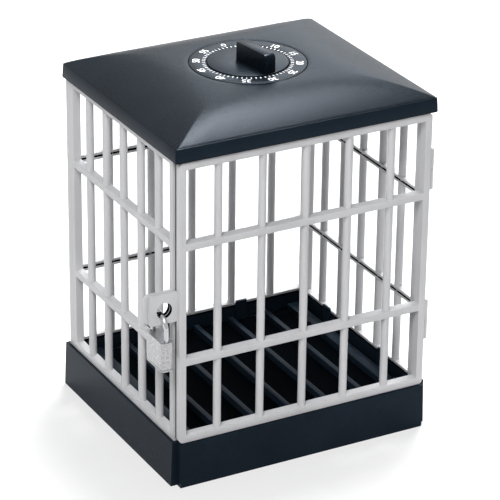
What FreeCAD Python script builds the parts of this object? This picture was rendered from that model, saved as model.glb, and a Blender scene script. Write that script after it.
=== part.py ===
"""Timed lock container: a barred cage on a black plinth, with a clockwork timer in its lid.

Millimetres, +Z up. The origin is at the centre of the plinth's underside, and the door faces -Y.
"""
import FreeCAD
import Part
import math
import os

import Sketcher
from FreeCAD import Rotation, Vector

SIZES = {
    # Lid: outside of the skirt at its lower edge, then the roof above it
    "lid_width": 160.0,
    "lid_depth": 140.0,
    "lid_gap": 0.6,
    "lid_flare": 0.4,
    "lid_corner": 1.4,
    "skirt_height": 8.0,
    "roof_rise": 11.0,
    "roof_wall": 4.0,
    "roof_shoulder_rise": 6.4,
    "roof_shoulder_inset": 17.0,
    "roof_shoulder_corner": 16.0,
    "roof_top_half": 36.0,
    "roof_top_flat": 1.0,
    "lid_seat_depth": 3.0,
    "lid_haunch": 5.4,
    # Plinth
    "wall_height": 27.0,
    "wall_draft": 0.8,
    "wall_rim": 1.8,
    "wall_front_setback": 4.4,
    "fascia_height": 26.4,
    "fascia_thick": 4.4,
    "fascia_core_inset": 2.2,
    "plinth_front_thick": 8.0,
    "floor_height": 20.0,
    "floor_thick": 2.0,
    "rib_height": 4.0,
    "rib_width": 3.0,
    "rib_pitch": 23.0,
    "rib_front_gap": 18.0,
    "rib_rear_gap": 8.0,
    "land_width": 7.0,
    "land_inset": 12.9,
    "clip_width": 7.0,
    "clip_thick": 1.6,
    "clip_height": 12.5,
    "clip_spacing": 63.0,
    "cover_thick": 2.0,
    "cover_head_sink": 0.2,
    "cover_boss_radius": 4.5,
    "cover_boss_inset": 14.0,
    # Cage
    "cage_inset": 1.8,
    "panel_thick": 4.6,
    "post_width": 4.0,
    "rail_height": 4.0,
    "rail_offset": 34.0,
    "bar_radius": 2.2,
    "bar_root": 1.0,
    "front_bar_pitch": 26.5,
    "side_bar_pitch": 21.1,
    "panel_sill_inset": 0.0,
    "panel_head": 3.5,
    "groove_height": 1.2,
    "groove_depth": 1.6,
    "piece_gap": 0.2,
    "cut_margin": 1.0,
    # Door and its hinge
    "door_inset": 1.0,
    "door_height": 165.5,
    "door_thick": 5.2,
    "door_gap": 0.5,
    "door_panel_gap": 0.6,
    "door_setback": 1.4,
    "door_end_rail": 4.2,
    "door_corner": 2.2,
    "hinge_length": 24.0,
    "hinge_low_height": 66.4,
    "hinge_high_height": 158.4,
    "hinge_radius": 1.5,
    "hinge_reach": 1.8,
    "hinge_pin_radius": 0.7,
    "hinge_pin_fit": 0.02,
    "hinge_run_fit": 0.08,
    "hinge_pin_head_radius": 1.2,
    "hinge_pin_head_height": 0.6,
    "hinge_pin_head_gap": 0.1,
    "hinge_strap_length": 8.0,
    "hinge_strap_proud": 1.6,
    "hinge_root": 0.5,
    "knuckle_gap": 0.3,
    # Hasp plates and the padlock
    "hasp_low": 100.3,
    "hasp_height": 17.3,
    "hasp_thick": 2.2,
    "hasp_hole_radius": 4.6,
    "hasp_hole_reach": 7.6,
    "hasp_hole_drop": 0.75,
    "door_hasp_tip": 8.5,
    "door_hasp_corner": 0.8,
    "panel_hasp_tip": 10.3,
    "panel_hasp_corner": 3.0,
    "lock_width": 20.0,
    "lock_height": 17.0,
    "lock_thick": 7.2,
    "lock_corner": 2.0,
    "lock_bottom": 75.5,
    "lock_offset": 1.6,
    "shackle_radius": 1.4,
    "shackle_spread": 15.8,
    "shackle_crown_height": 106.3,
    "shackle_fit": 0.1,
    "long_leg_depth": 10.0,
    "short_leg_depth": 7.0,
    "long_bore_depth": 13.0,
    "short_bore_depth": 7.6,
    "plug_radius": 2.4,
    "plug_height": 12.8,
    "keyway_width": 0.9,
    "keyway_length": 3.2,
    "keyway_depth": 9.0,
    "bolt_width": 1.8,
    "bolt_height": 1.8,
    "bolt_rise": 13.0,
    "bolt_tail": 1.2,
    "bolt_bite": 0.4,
    "bolt_throw": 1.6,
    "bolt_gap": 0.1,
    "notch_depth": 0.55,
    "notch_margin": 0.3,
    "notch_run": 2.8,
    "lock_spring_wire": 0.2,
    "lock_spring_radius": 1.0,
    "lock_spring_turns": 5.0,
    "lock_spring_gap": 0.05,
    # Dial, knob and shaft
    "dial_radius": 32.7,
    "dial_depth": 2.0,
    "dial_ring_fit": 0.3,
    "knob_radius": 22.4,
    "knob_gap": 0.5,
    "knob_lift": 0.3,
    "knob_top": 0.5,
    "fin_height": 10.7,
    "fin_rear": 5.9,
    "fin_nose": 21.1,
    "fin_rear_width": 7.7,
    "fin_nose_width": 6.8,
    "fin_nose_round": 2.6,
    "fin_turn": 7.0,
    "shaft_radius": 3.0,
    "shaft_fit": 0.05,
    "shaft_hole_gap": 0.6,
    "shaft_top_cover": 3.0,
    "shaft_end_gap": 0.2,
    "shaft_end_proud": 1.0,
    # Timer case and movement
    "case_radius": 30.0,
    "case_depth": 26.0,
    "case_wall": 1.6,
    "ear_offset": 33.5,
    "ear_radius": 4.2,
    "lid_boss_radius": 3.3,
    "ear_thick": 3.0,
    "ear_drop": 12.0,
    "screw_radius": 1.5,
    "screw_fit": 0.05,
    "screw_head_radius": 2.8,
    "screw_head_height": 1.8,
    "screw_length": 11.0,
    "plate_radius": 26.0,
    "plate_thick": 1.5,
    "plate_gap": 10.5,
    "plate_drop": 2.5,
    "pillar_radius": 2.0,
    "pillar_offset": 22.0,
    "barrel_radius": 10.6,
    "barrel_height": 4.6,
    "barrel_wall": 0.8,
    "barrel_fit": 0.3,
    "spring_strip": 0.3,
    "spring_pitch": 1.1,
    "spring_turns": 5.0,
    "spring_margin": 0.4,
    "gear_module": 0.5,
    "tooth_addendum": 0.4,
    "tooth_dedendum": 0.6,
    "tooth_space_foot": 0.34,
    "tooth_space_mouth": 0.62,
    "main_teeth": 48,
    "second_pinion_teeth": 12,
    "second_teeth": 40,
    "escape_pinion_teeth": 10,
    "escape_teeth": 15,
    "escape_radius": 6.0,
    "escape_tooth_depth": 1.4,
    "escape_gullet": 2.4,
    "gear_thick": 1.4,
    "wheel_thick": 1.0,
    "pinion_margin": 0.6,
    "arbor_radius": 0.8,
    "arbor_fit": 0.05,
    "second_angle": 150.0,
    "escape_angle": 194.4,
    "escape_offset": 17.5,
    "main_gear_rise": 6.0,
    "second_gear_rise": 8.7,
    "escape_rise": 2.6,
    "pallet_angle": 222.0,
    "pallet_offset": 20.5,
    "pallet_finger": 4.0,
    "pallet_reach": 4.4,
    "pallet_arm": 1.2,
    "bell_radius": 23.0,
    "bell_height": 5.0,
    "bell_wall": 1.0,
    "bell_gap": 1.0,
    "bell_peg": 1.4,
    "hammer_pivot": 17.4,
    "hammer_reach": 9.0,
    "hammer_arm": 1.6,
    "hammer_head_radius": 1.6,
    "hammer_rise": 1.5,
}

LID_SCREW_ANGLES = (90.0, 210.0, 330.0)
PILLAR_ANGLES = (60.0, 240.0, 300.0)
BARS = 5
RIBS = 5
CORNER_SIGNS = ((-1, -1), (1, -1), (1, 1), (-1, 1))
Y_AXIS = Vector(0, 1, 0)
Z_AXIS = Vector(0, 0, 1)


class Size:
    """A length or angle that is known both as a number and as an expression of the sheet."""

    def __init__(self, text, value):
        self.text = text
        self.value = value

    def __add__(self, other):
        return Size(f"({self.text} + {text_of(other)})", self.value + value_of(other))

    def __radd__(self, other):
        return Size(f"({text_of(other)} + {self.text})", value_of(other) + self.value)

    def __sub__(self, other):
        return Size(f"({self.text} - {text_of(other)})", self.value - value_of(other))

    def __rsub__(self, other):
        return Size(f"({text_of(other)} - {self.text})", value_of(other) - self.value)

    def __mul__(self, other):
        return Size(f"({self.text} * {text_of(other)})", self.value * value_of(other))

    def __rmul__(self, other):
        return Size(f"({text_of(other)} * {self.text})", value_of(other) * self.value)

    def __truediv__(self, other):
        return Size(f"({self.text} / {text_of(other)})", self.value / value_of(other))

    def __rtruediv__(self, other):
        return Size(f"({text_of(other)} / {self.text})", value_of(other) / self.value)

    def __neg__(self):
        return Size(f"(-1 * {self.text})", -self.value)


def text_of(size):
    """The expression of a size, or a plain number as text."""
    return size.text if isinstance(size, Size) else repr(size)


def value_of(size):
    """The present value of a size or of a plain number."""
    return size.value if isinstance(size, Size) else size


class Sheet:
    """The driving sizes, each an attribute of this object and a named cell of the spreadsheet."""

    def __init__(self, document, sizes):
        cells = document.addObject("Spreadsheet::Sheet", "Sizes")
        for row, (alias, number) in enumerate(sizes.items(), start=1):
            cells.set(f"A{row}", alias)
            cells.set(f"B{row}", str(number))
            cells.setAlias(f"B{row}", alias)
            setattr(self, alias, Size(f"Sizes.{alias}", float(number)))


doc = FreeCAD.newDocument("timed_lock_container")
s = Sheet(doc, SIZES)
doc.recompute()
pieces = []


# ---------------------------------------------------------------- shared sizes worked out once

lid_half_x = s.lid_width / 2
lid_half_y = s.lid_depth / 2
door_low = s.fascia_height + s.door_gap
door_high = door_low + s.door_height
lid_low = door_high + s.lid_gap
skirt_top = lid_low + s.skirt_height
dial_plane = skirt_top + s.roof_rise
ceiling = dial_plane - s.roof_wall
lid_seat = lid_low + s.lid_seat_depth
cage_half = lid_half_x - s.cage_inset
cage_rear = lid_half_y - s.cage_inset
door_half = cage_half - s.door_inset
door_front = s.door_setback - lid_half_y
door_back = door_front + s.door_thick
side_front = door_back + s.door_panel_gap
side_rear = cage_rear - s.panel_thick - s.piece_gap
side_length = side_rear - side_front
side_centre = (side_rear + side_front) / 2
mid_height = (door_low + door_high) / 2
window_low = door_low + s.door_end_rail
side_window_high = lid_low - s.panel_head
wall_inner_x = cage_half + s.piece_gap
wall_inner_y = cage_rear + s.piece_gap
fascia_front = -lid_half_y
fascia_back = fascia_front + s.fascia_thick
wall_front = fascia_front + s.wall_front_setback
rib_top = s.floor_height + s.rib_height
hinge_x = door_half + s.hinge_reach
hinge_y = (door_front + door_back) / 2
hasp_hole_x = -door_half - s.hasp_hole_reach
hasp_hole_z = s.hasp_low + s.hasp_height / 2 - s.hasp_hole_drop
lock_x = hasp_hole_x - s.lock_offset
lock_y = (door_back + side_front) / 2
lock_top = s.lock_bottom + s.lock_height
knob_low = dial_plane - s.dial_depth + s.knob_lift
knob_high = dial_plane + s.knob_top
case_low = ceiling - s.case_depth
top_plate_low = ceiling - s.plate_drop - s.plate_thick
bottom_plate_high = top_plate_low - s.plate_gap
bottom_plate_low = bottom_plate_high - s.plate_thick
ear_high = ceiling - s.ear_drop
ear_low = ear_high - s.ear_thick
main_pitch = s.gear_module * s.main_teeth / 2
second_pinion_pitch = s.gear_module * s.second_pinion_teeth / 2
second_centre = main_pitch + second_pinion_pitch


# ---------------------------------------------------------------- document helpers

def bind(thing, name, size):
    """Tie a property to the sheet; a plain number is tied in the same way."""
    thing.setExpression(name, text_of(size))


def place(thing, x=0, y=0, z=0, turn=None, axis=Z_AXIS):
    """Move an object to x, y, z, turned by an angle about an axis."""
    if turn is not None:
        thing.Placement = FreeCAD.Placement(Vector(), Rotation(axis, value_of(turn)))
        if isinstance(turn, Size):
            thing.setExpression("Placement.Rotation.Angle", turn.text)
    for letter, size in (("x", x), ("y", y), ("z", z)):
        bind(thing, f"Placement.Base.{letter}", size)
    return thing


def polar(radius, angle):
    """The x and y of a point at a radius and an angle in degrees about the shaft."""
    if isinstance(angle, Size):
        cosine = Size(f"cos({angle.text} * 1 deg)", math.cos(math.radians(angle.value)))
        sine = Size(f"sin({angle.text} * 1 deg)", math.sin(math.radians(angle.value)))
    else:
        cosine = math.cos(math.radians(angle))
        sine = math.sin(math.radians(angle))
    return radius * cosine, radius * sine


def keep(thing, label):
    """Name a finished piece, which is written out under that name."""
    thing.Label = label
    pieces.append(thing)
    return thing


def rod(name, radius, z, x=0, y=0):
    """An upright cylinder from the low to the high of z."""
    cylinder = doc.addObject("Part::Cylinder", name)
    bind(cylinder, "Radius", radius)
    bind(cylinder, "Height", z[1] - z[0])
    return place(cylinder, x, y, z[0])


def fuse(name, shapes):
    """One solid of several that touch or overlap."""
    joined = doc.addObject("Part::MultiFuse", name)
    joined.Shapes = shapes
    joined.Refine = True
    return joined


def group(name, shapes):
    """Several separate solids kept as one piece."""
    compound = doc.addObject("Part::Compound", name)
    compound.Links = shapes
    return compound


def cut(name, base, tools):
    """The base with every tool taken away."""
    carved = doc.addObject("Part::Cut", name)
    carved.Base = base
    carved.Tool = tools[0] if len(tools) == 1 else fuse(name + "_tools", tools)
    return carved


# ---------------------------------------------------------------- body and sketch helpers

def new_body(label):
    """An empty body, kept under its label."""
    body = doc.addObject("PartDesign::Body", "Body_" + label)
    return keep(body, label)


def origin_part(body, role):
    """A plane or axis of the body's own origin."""
    return next(item for item in body.Origin.OriginFeatures if item.Role == role)


def new_sketch(body, role, offset=0):
    """A sketch on one of the body's origin planes, moved along that plane's normal."""
    sketch = body.newObject("Sketcher::SketchObject", "Sketch")
    sketch.AttachmentSupport = [(origin_part(body, role), "")]
    sketch.MapMode = "FlatFace"
    bind(sketch, "AttachmentOffset.Base.z", offset)
    return sketch


def constrain(sketch, kind, *parts):
    """Add a constraint whose last part is a size."""
    *where, size = parts
    index = sketch.addConstraint(Sketcher.Constraint(kind, *where, value_of(size)))
    if isinstance(size, Size):
        sketch.setExpression(f"Constraints[{index}]", size.text)


def pin(sketch, geometry, point, u, v):
    """Hold a point of a sketch at u, v."""
    constrain(sketch, "DistanceX", geometry, point, u)
    constrain(sketch, "DistanceY", geometry, point, v)


def outline(sketch, points):
    """A closed run of straight lines through the points."""
    corners = [Vector(value_of(u), value_of(v), 0) for u, v in points]
    first = sketch.GeometryCount
    count = len(points)
    for index, corner in enumerate(corners):
        sketch.addGeometry(Part.LineSegment(corner, corners[(index + 1) % count]), False)
    for index, (u, v) in enumerate(points):
        following = first + (index + 1) % count
        sketch.addConstraint(Sketcher.Constraint("Coincident", first + index, 2, following, 1))
        pin(sketch, first + index, 1, u, v)


def rectangle(sketch, u, v):
    """A rectangle spanning u and v, each given as low and high."""
    outline(sketch, [(u[0], v[0]), (u[1], v[0]), (u[1], v[1]), (u[0], v[1])])


def circle(sketch, u, v, radius):
    """A circle about u, v."""
    centre = Vector(value_of(u), value_of(v), 0)
    index = sketch.addGeometry(Part.Circle(centre, Z_AXIS, value_of(radius)), False)
    pin(sketch, index, 3, u, v)
    constrain(sketch, "Radius", index, radius)


def rounded(sketch, half_u, half_v, radius):
    """A rectangle about the sketch's origin with round corners."""
    flat_u = half_u - radius
    flat_v = half_v - radius
    runs = (
        ((-flat_u, -half_v), (flat_u, -half_v)),
        ((half_u, -flat_v), (half_u, flat_v)),
        ((flat_u, half_v), (-flat_u, half_v)),
        ((-half_u, flat_v), (-half_u, -flat_v)),
    )
    centres = ((flat_u, -flat_v), (flat_u, flat_v), (-flat_u, flat_v), (-flat_u, -flat_v))
    for quarter, (run, centre) in enumerate(zip(runs, centres)):
        ends = [Vector(value_of(u), value_of(v), 0) for u, v in run]
        line = sketch.addGeometry(Part.LineSegment(ends[0], ends[1]), False)
        for point, (u, v) in zip((1, 2), run):
            pin(sketch, line, point, u, v)
        middle = Vector(value_of(centre[0]), value_of(centre[1]), 0)
        turn = Part.Circle(middle, Z_AXIS, value_of(radius))
        start = (quarter - 1) * math.pi / 2
        sketch.addGeometry(Part.ArcOfCircle(turn, start, start + math.pi / 2), False)
    for quarter in range(4):
        line, arc = quarter * 2, quarter * 2 + 1
        sketch.addConstraint(Sketcher.Constraint("Coincident", line, 2, arc, 1))
        sketch.addConstraint(Sketcher.Constraint("Coincident", arc, 2, (line + 2) % 8, 1))
        constrain(sketch, "Radius", arc, radius)


def pad(body, sketch, length, reverse=False):
    """Add the sketch's outline, extruded."""
    feature = body.newObject("PartDesign::Pad", "Pad")
    feature.Profile = sketch
    feature.Reversed = reverse
    bind(feature, "Length", length)
    return feature


def pocket(body, sketch, length, reverse=False):
    """Take the sketch's outline away, extruded, and make sure that it met the solid."""
    doc.recompute()
    before = body.Shape.Volume
    feature = body.newObject("PartDesign::Pocket", "Pocket")
    feature.Profile = sketch
    feature.Reversed = reverse
    bind(feature, "Length", length)
    doc.recompute()
    if feature.Shape.Volume > before - 1e-6:
        raise RuntimeError(f"{body.Label}: a pocket cut nothing")
    return feature


def loft(body, kind, sketches, ruled=False):
    """Join sketches by an additive or subtractive loft."""
    feature = body.newObject("PartDesign::" + kind, kind)
    feature.Profile = sketches[0]
    feature.Sections = sketches[1:]
    feature.Ruled = ruled
    return feature


def soften(body, kind, radius, wanted):
    """Fillet or chamfer the edges that the test picks out."""
    doc.recompute()
    base = body.Tip
    names = [f"Edge{number}" for number, edge in enumerate(base.Shape.Edges, start=1) if wanted(edge)]
    if not names:
        raise RuntimeError(f"{body.Label}: no edge to soften")
    feature = body.newObject("PartDesign::" + kind, kind)
    feature.Base = (base, names)
    bind(feature, "Radius" if kind == "Fillet" else "Size", radius)
    return feature


def along(edge, axis):
    """Whether a straight edge runs along an axis."""
    if edge.Curve.TypeId != "Part::GeomLine":
        return False
    return abs(abs(edge.tangentAt(edge.FirstParameter).dot(axis)) - 1) < 1e-6


def near(number, size):
    """Whether a coordinate lies at a size."""
    return abs(number - value_of(size)) < 1e-4


# ---------------------------------------------------------------- plinth

def make_base_tray():
    """The plinth: three drafted walls, a front fascia, a high floor with ribs, and clips."""
    body = new_body("base_tray")
    sections = []
    for level, lean in ((0, s.wall_draft), (s.wall_height, 0)):
        sketch = new_sketch(body, "XY_Plane", level)
        half = wall_inner_x + s.wall_rim + lean
        rear = wall_inner_y + s.wall_rim + lean
        rectangle(sketch, (-half, half), (wall_front, rear))
        sections.append(sketch)
    loft(body, "AdditiveLoft", sections, ruled=True)

    core = new_sketch(body, "XY_Plane")
    core_half = door_half - s.fascia_core_inset
    rectangle(core, (-core_half, core_half), (fascia_back - s.cut_margin, wall_front + s.cut_margin))
    pad(body, core, s.floor_height)
    fascia = new_sketch(body, "XY_Plane")
    rectangle(fascia, (-door_half, door_half), (fascia_front, fascia_back))
    pad(body, fascia, s.fascia_height)

    tray = new_sketch(body, "XY_Plane", s.wall_height)
    lip_back = side_front - s.piece_gap
    rectangle(tray, (-wall_inner_x, wall_inner_x), (lip_back, wall_inner_y))
    pocket(body, tray, s.wall_height - s.floor_height)
    lip = new_sketch(body, "XY_Plane", s.wall_height)
    rectangle(lip, (-wall_inner_x, wall_inner_x), (wall_front - s.cut_margin, lip_back))
    pocket(body, lip, s.wall_height - s.fascia_height)
    hollow = new_sketch(body, "XY_Plane")
    hollow_front = fascia_front + s.plinth_front_thick
    rectangle(hollow, (-wall_inner_x, wall_inner_x), (hollow_front, wall_inner_y))
    pocket(body, hollow, s.floor_height - s.floor_thick, reverse=True)

    ribs = new_sketch(body, "XY_Plane", s.floor_height)
    rib_span = (s.rib_front_gap - lid_half_y, wall_inner_y - s.rib_rear_gap)
    for index in range(RIBS):
        middle = s.rib_pitch * (index - (RIBS - 1) / 2)
        rectangle(ribs, (middle - s.rib_width / 2, middle + s.rib_width / 2), rib_span)
    for side in (-1, 1):
        middle = (wall_inner_x - s.land_inset) * side
        rectangle(ribs, (middle - s.land_width / 2, middle + s.land_width / 2), rib_span)
    pad(body, ribs, s.rib_height)

    clips = new_sketch(body, "XY_Plane", s.floor_height)
    inner_x = cage_half - s.panel_thick - s.piece_gap
    inner_y = cage_rear - s.panel_thick - s.piece_gap
    for side in (-1, 1):
        middle = s.clip_spacing / 2 * side
        span = (middle - s.clip_width / 2, middle + s.clip_width / 2)
        rectangle(clips, span, (inner_y - s.clip_thick, inner_y))
        rectangle(clips, (inner_x - s.clip_thick, inner_x), span)
        rectangle(clips, (-inner_x, s.clip_thick - inner_x), span)
    pad(body, clips, s.clip_height)

    bosses = new_sketch(body, "XY_Plane", s.cover_thick)
    for x, y in cover_screw_places():
        circle(bosses, x, y, s.cover_boss_radius)
    pad(body, bosses, s.floor_height - s.floor_thick - s.cover_thick)
    holes = new_sketch(body, "XY_Plane", s.cover_thick)
    for x, y in cover_screw_places():
        circle(holes, x, y, s.screw_radius + s.screw_fit)
    pocket(body, holes, s.screw_length - s.cover_thick + s.cut_margin, reverse=True)
    return body


def cover_screw_places():
    """The four places where the underside's cover is screwed on."""
    far_x = wall_inner_x - s.cover_boss_inset
    front = fascia_front + s.plinth_front_thick + s.cover_boss_inset
    rear = wall_inner_y - s.cover_boss_inset
    return [(far_x * side_x, front if side_y < 0 else rear) for side_x, side_y in CORNER_SIGNS]


def make_base_cover():
    """The flat plate that closes the plinth's underside, with its four screws."""
    body = new_body("base_cover")
    plate = new_sketch(body, "XY_Plane")
    half = wall_inner_x - s.piece_gap
    front = fascia_front + s.plinth_front_thick + s.piece_gap
    rectangle(plate, (-half, half), (front, wall_inner_y - s.piece_gap))
    pad(body, plate, s.cover_thick)
    holes = new_sketch(body, "XY_Plane")
    sinks = new_sketch(body, "XY_Plane")
    for x, y in cover_screw_places():
        circle(holes, x, y, s.screw_radius + s.screw_fit)
        circle(sinks, x, y, s.screw_head_radius + s.screw_fit)
    pocket(body, holes, s.cover_thick, reverse=True)
    pocket(body, sinks, s.cover_thick / 2, reverse=True)

    screws = []
    seat = s.cover_thick / 2
    for index, (x, y) in enumerate(cover_screw_places()):
        shank = rod(f"CoverShank{index}", s.screw_radius, (seat, s.screw_length), x, y)
        head = rod(f"CoverHead{index}", s.screw_head_radius, (s.cover_head_sink, seat), x, y)
        screws.append(fuse(f"CoverScrew{index}", [shank, head]))
    keep(group("CoverScrews", screws), "base_screws")


# ---------------------------------------------------------------- cage

def grille(label, width, thick, low, high, window_high, pitch):
    """A barred panel: its outer face is in the plane y = 0 and it stands about x = 0."""
    body = new_body(label)
    half = width / 2
    frame = new_sketch(body, "XZ_Plane")
    rectangle(frame, (-half, half), (low, high))
    opening_half = half - s.post_width
    openings = (-opening_half, opening_half)
    lower = mid_height - s.rail_offset
    upper = mid_height + s.rail_offset
    edge = s.rail_height / 2
    rows = (window_low, lower - edge), (lower + edge, upper - edge), (upper + edge, window_high)
    for window in rows:
        rectangle(frame, openings, window)
    pad(body, frame, thick, reverse=True)

    grooves = new_sketch(body, "XZ_Plane", -thick)
    for middle in (window_low - edge, lower, upper, window_high + edge / 2):
        span = (middle - s.groove_height / 2, middle + s.groove_height / 2)
        rectangle(grooves, openings, span)
    pocket(body, grooves, s.groove_depth, reverse=True)

    bar = new_sketch(body, "XY_Plane", window_low - s.bar_root)
    circle(bar, pitch * (-(BARS - 1) / 2), thick / 2, s.bar_radius)
    first = pad(body, bar, window_high - window_low + s.bar_root * 2)
    row = body.newObject("PartDesign::LinearPattern", "Bars")
    row.Originals = [first]
    row.Direction = (origin_part(body, "X_Axis"), [""])
    bind(row, "Length", pitch * (BARS - 1))
    row.Occurrences = BARS
    body.Tip = row
    return body


def hasp_plate(body, role, offset, post_edge, inward, reach, corner):
    """A plate with a hole for the shackle, rooted in the post and reaching outwards."""
    low = s.hasp_low
    high = s.hasp_low + s.hasp_height
    middle = post_edge - s.hasp_hole_reach
    tip = middle - reach
    plate = new_sketch(body, role, offset)
    rectangle(plate, (tip, post_edge + inward), (low, high))
    circle(plate, middle, hasp_hole_z, s.hasp_hole_radius)
    pad(body, plate, s.hasp_thick)

    def tip_corner(edge):
        at = edge.CenterOfMass
        across = at.x if role == "XZ_Plane" else at.y
        return (not along(edge, Z_AXIS) and near(across, tip)
                and any(near(at.z, level) for level in (low, high)))

    soften(body, "Fillet", corner, tip_corner)


def make_door():
    """The barred door, with its hasp plate on the left and two hinge barrels on the right."""
    body = grille("door_panel", door_half * 2, s.door_thick, door_low, door_high,
                  door_high - s.door_end_rail, s.front_bar_pitch)
    levels = (door_low, door_high)

    def corner(edge):
        at = edge.CenterOfMass
        return (along(edge, Y_AXIS) and near(abs(at.x), door_half)
                and any(near(at.z, level) for level in levels))

    soften(body, "Fillet", s.door_corner, corner)
    hasp_plate(body, "XZ_Plane", -s.door_thick, -door_half, s.post_width / 2,
               s.door_hasp_tip, s.door_hasp_corner)

    depth = hinge_y - door_front
    for centre in (s.hinge_low_height, s.hinge_high_height):
        start = centre + s.knuckle_gap / 2
        length = (s.hinge_length - s.knuckle_gap) / 2
        web = new_sketch(body, "XY_Plane", start)
        rectangle(web, (door_half - s.hinge_root, hinge_x),
                  (depth - s.hinge_radius, depth + s.hinge_radius))
        pad(body, web, length)
        barrel = new_sketch(body, "XY_Plane", start)
        circle(barrel, hinge_x, depth, s.hinge_radius)
        pad(body, barrel, length)
        bore = new_sketch(body, "XY_Plane", start)
        circle(bore, hinge_x, depth, s.hinge_pin_radius + s.hinge_run_fit)
        pocket(body, bore, length, reverse=True)
    place(body, 0, door_front, 0)


def make_side_panels():
    """The fixed left, right and rear panels that stand inside the plinth's walls."""
    low = s.floor_height + s.panel_sill_inset
    left = grille("left_panel", side_length, s.panel_thick, low, lid_seat,
                  side_window_high, s.side_bar_pitch)
    hasp_plate(left, "YZ_Plane", side_length / 2 - s.hasp_thick, s.door_inset,
               s.post_width / 4, s.panel_hasp_tip, s.panel_hasp_corner)
    place(left, -cage_half, side_centre, 0, turn=-90)

    right = grille("right_panel", side_length, s.panel_thick, low, lid_seat,
                   side_window_high, s.side_bar_pitch)
    axis_u = hinge_y - side_centre
    axis_v = cage_half - hinge_x
    strap_end = axis_u + s.hinge_strap_length
    for centre in (s.hinge_low_height, s.hinge_high_height):
        start = centre - s.hinge_length / 2
        length = (s.hinge_length - s.knuckle_gap) / 2
        strap = new_sketch(right, "XY_Plane", start)
        rectangle(strap, (axis_u, strap_end), (-s.hinge_strap_proud, s.hinge_root))
        pad(right, strap, length)
        barrel = new_sketch(right, "XY_Plane", start)
        circle(barrel, axis_u, axis_v, s.hinge_radius)
        pad(right, barrel, length)
        bore = new_sketch(right, "XY_Plane", start)
        circle(bore, axis_u, axis_v, s.hinge_pin_radius + s.hinge_pin_fit)
        pocket(right, bore, length, reverse=True)
    place(right, cage_half, side_centre, 0, turn=90)

    rear = grille("rear_panel", cage_half * 2, s.panel_thick, low, lid_seat,
                  side_window_high, s.front_bar_pitch)
    place(rear, 0, cage_rear, 0, turn=180)


def make_hinge_pins():
    """Two upright pins with small heads, one through each pair of barrels."""
    pins = []
    for index, centre in enumerate((s.hinge_low_height, s.hinge_high_height)):
        low = centre - s.hinge_length / 2
        seat = centre + s.hinge_length / 2 + s.hinge_pin_head_gap
        top = seat + s.hinge_pin_head_height
        shank = rod(f"PinShank{index}", s.hinge_pin_radius, (low, seat), hinge_x, hinge_y)
        head = rod(f"PinHead{index}", s.hinge_pin_head_radius, (seat, top), hinge_x, hinge_y)
        pins.append(fuse(f"HingePin{index}", [shank, head]))
    keep(group("HingePins", pins), "hinge_pins")


# ---------------------------------------------------------------- lid, dial and knob

def make_lid():
    """The lid: a drafted skirt and a convex roof, hollow below, with the dial's recess on top."""
    body = new_body("lid_shell")
    crown_corner = s.roof_top_half - s.roof_top_flat
    lower = new_sketch(body, "XY_Plane", lid_low)
    rounded(lower, lid_half_x, lid_half_y, s.lid_corner)
    upper = new_sketch(body, "XY_Plane", skirt_top)
    rounded(upper, lid_half_x - s.lid_flare, lid_half_y - s.lid_flare, s.lid_corner)
    loft(body, "AdditiveLoft", [lower, upper], ruled=True)

    eaves = new_sketch(body, "XY_Plane", skirt_top)
    rounded(eaves, lid_half_x - s.lid_flare, lid_half_y - s.lid_flare, s.lid_corner)
    shoulder = new_sketch(body, "XY_Plane", skirt_top + s.roof_shoulder_rise)
    rounded(shoulder, lid_half_x - s.roof_shoulder_inset, lid_half_y - s.roof_shoulder_inset,
            s.roof_shoulder_corner)
    crown = new_sketch(body, "XY_Plane", dial_plane)
    rounded(crown, s.roof_top_half, s.roof_top_half, crown_corner)
    loft(body, "AdditiveLoft", [eaves, shoulder, crown])

    seat = new_sketch(body, "XY_Plane", lid_low)
    rectangle(seat, (-wall_inner_x, wall_inner_x), (-wall_inner_y, wall_inner_y))
    pocket(body, seat, s.lid_seat_depth, reverse=True)
    mouth = new_sketch(body, "XY_Plane", lid_seat)
    rounded(mouth, wall_inner_x - s.lid_haunch, wall_inner_y - s.lid_haunch, s.lid_corner)
    hollow = new_sketch(body, "XY_Plane", skirt_top + s.roof_shoulder_rise - s.roof_wall / 2)
    inset = s.roof_shoulder_inset + s.roof_wall / 2
    rounded(hollow, lid_half_x - inset, lid_half_y - inset, s.roof_shoulder_corner)
    roof = new_sketch(body, "XY_Plane", ceiling)
    rounded(roof, s.roof_top_half, s.roof_top_half, crown_corner)
    loft(body, "SubtractiveLoft", [mouth, hollow, roof])

    bosses = new_sketch(body, "XY_Plane", ear_high)
    sockets = new_sketch(body, "XY_Plane", ear_high)
    for angle in LID_SCREW_ANGLES:
        x, y = polar(s.ear_offset, angle)
        circle(bosses, x, y, s.lid_boss_radius)
        circle(sockets, x, y, s.screw_radius + s.screw_fit)
    pad(body, bosses, s.ear_drop + s.roof_wall / 4)
    pocket(body, sockets, s.screw_length - s.ear_thick + s.cut_margin, reverse=True)

    recess = new_sketch(body, "XY_Plane", dial_plane)
    circle(recess, 0, 0, s.dial_radius)
    pocket(body, recess, s.dial_depth)
    hole = new_sketch(body, "XY_Plane", dial_plane)
    circle(hole, 0, 0, s.shaft_radius + s.shaft_hole_gap)
    pocket(body, hole, s.roof_wall + s.cut_margin)


def make_dial_ring():
    """The flat ring that carries the minute scale."""
    body = new_body("dial_ring")
    ring = new_sketch(body, "XY_Plane", dial_plane - s.dial_depth)
    circle(ring, 0, 0, s.dial_radius - s.dial_ring_fit)
    circle(ring, 0, 0, s.knob_radius + s.knob_gap)
    pad(body, ring, s.dial_depth)


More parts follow.
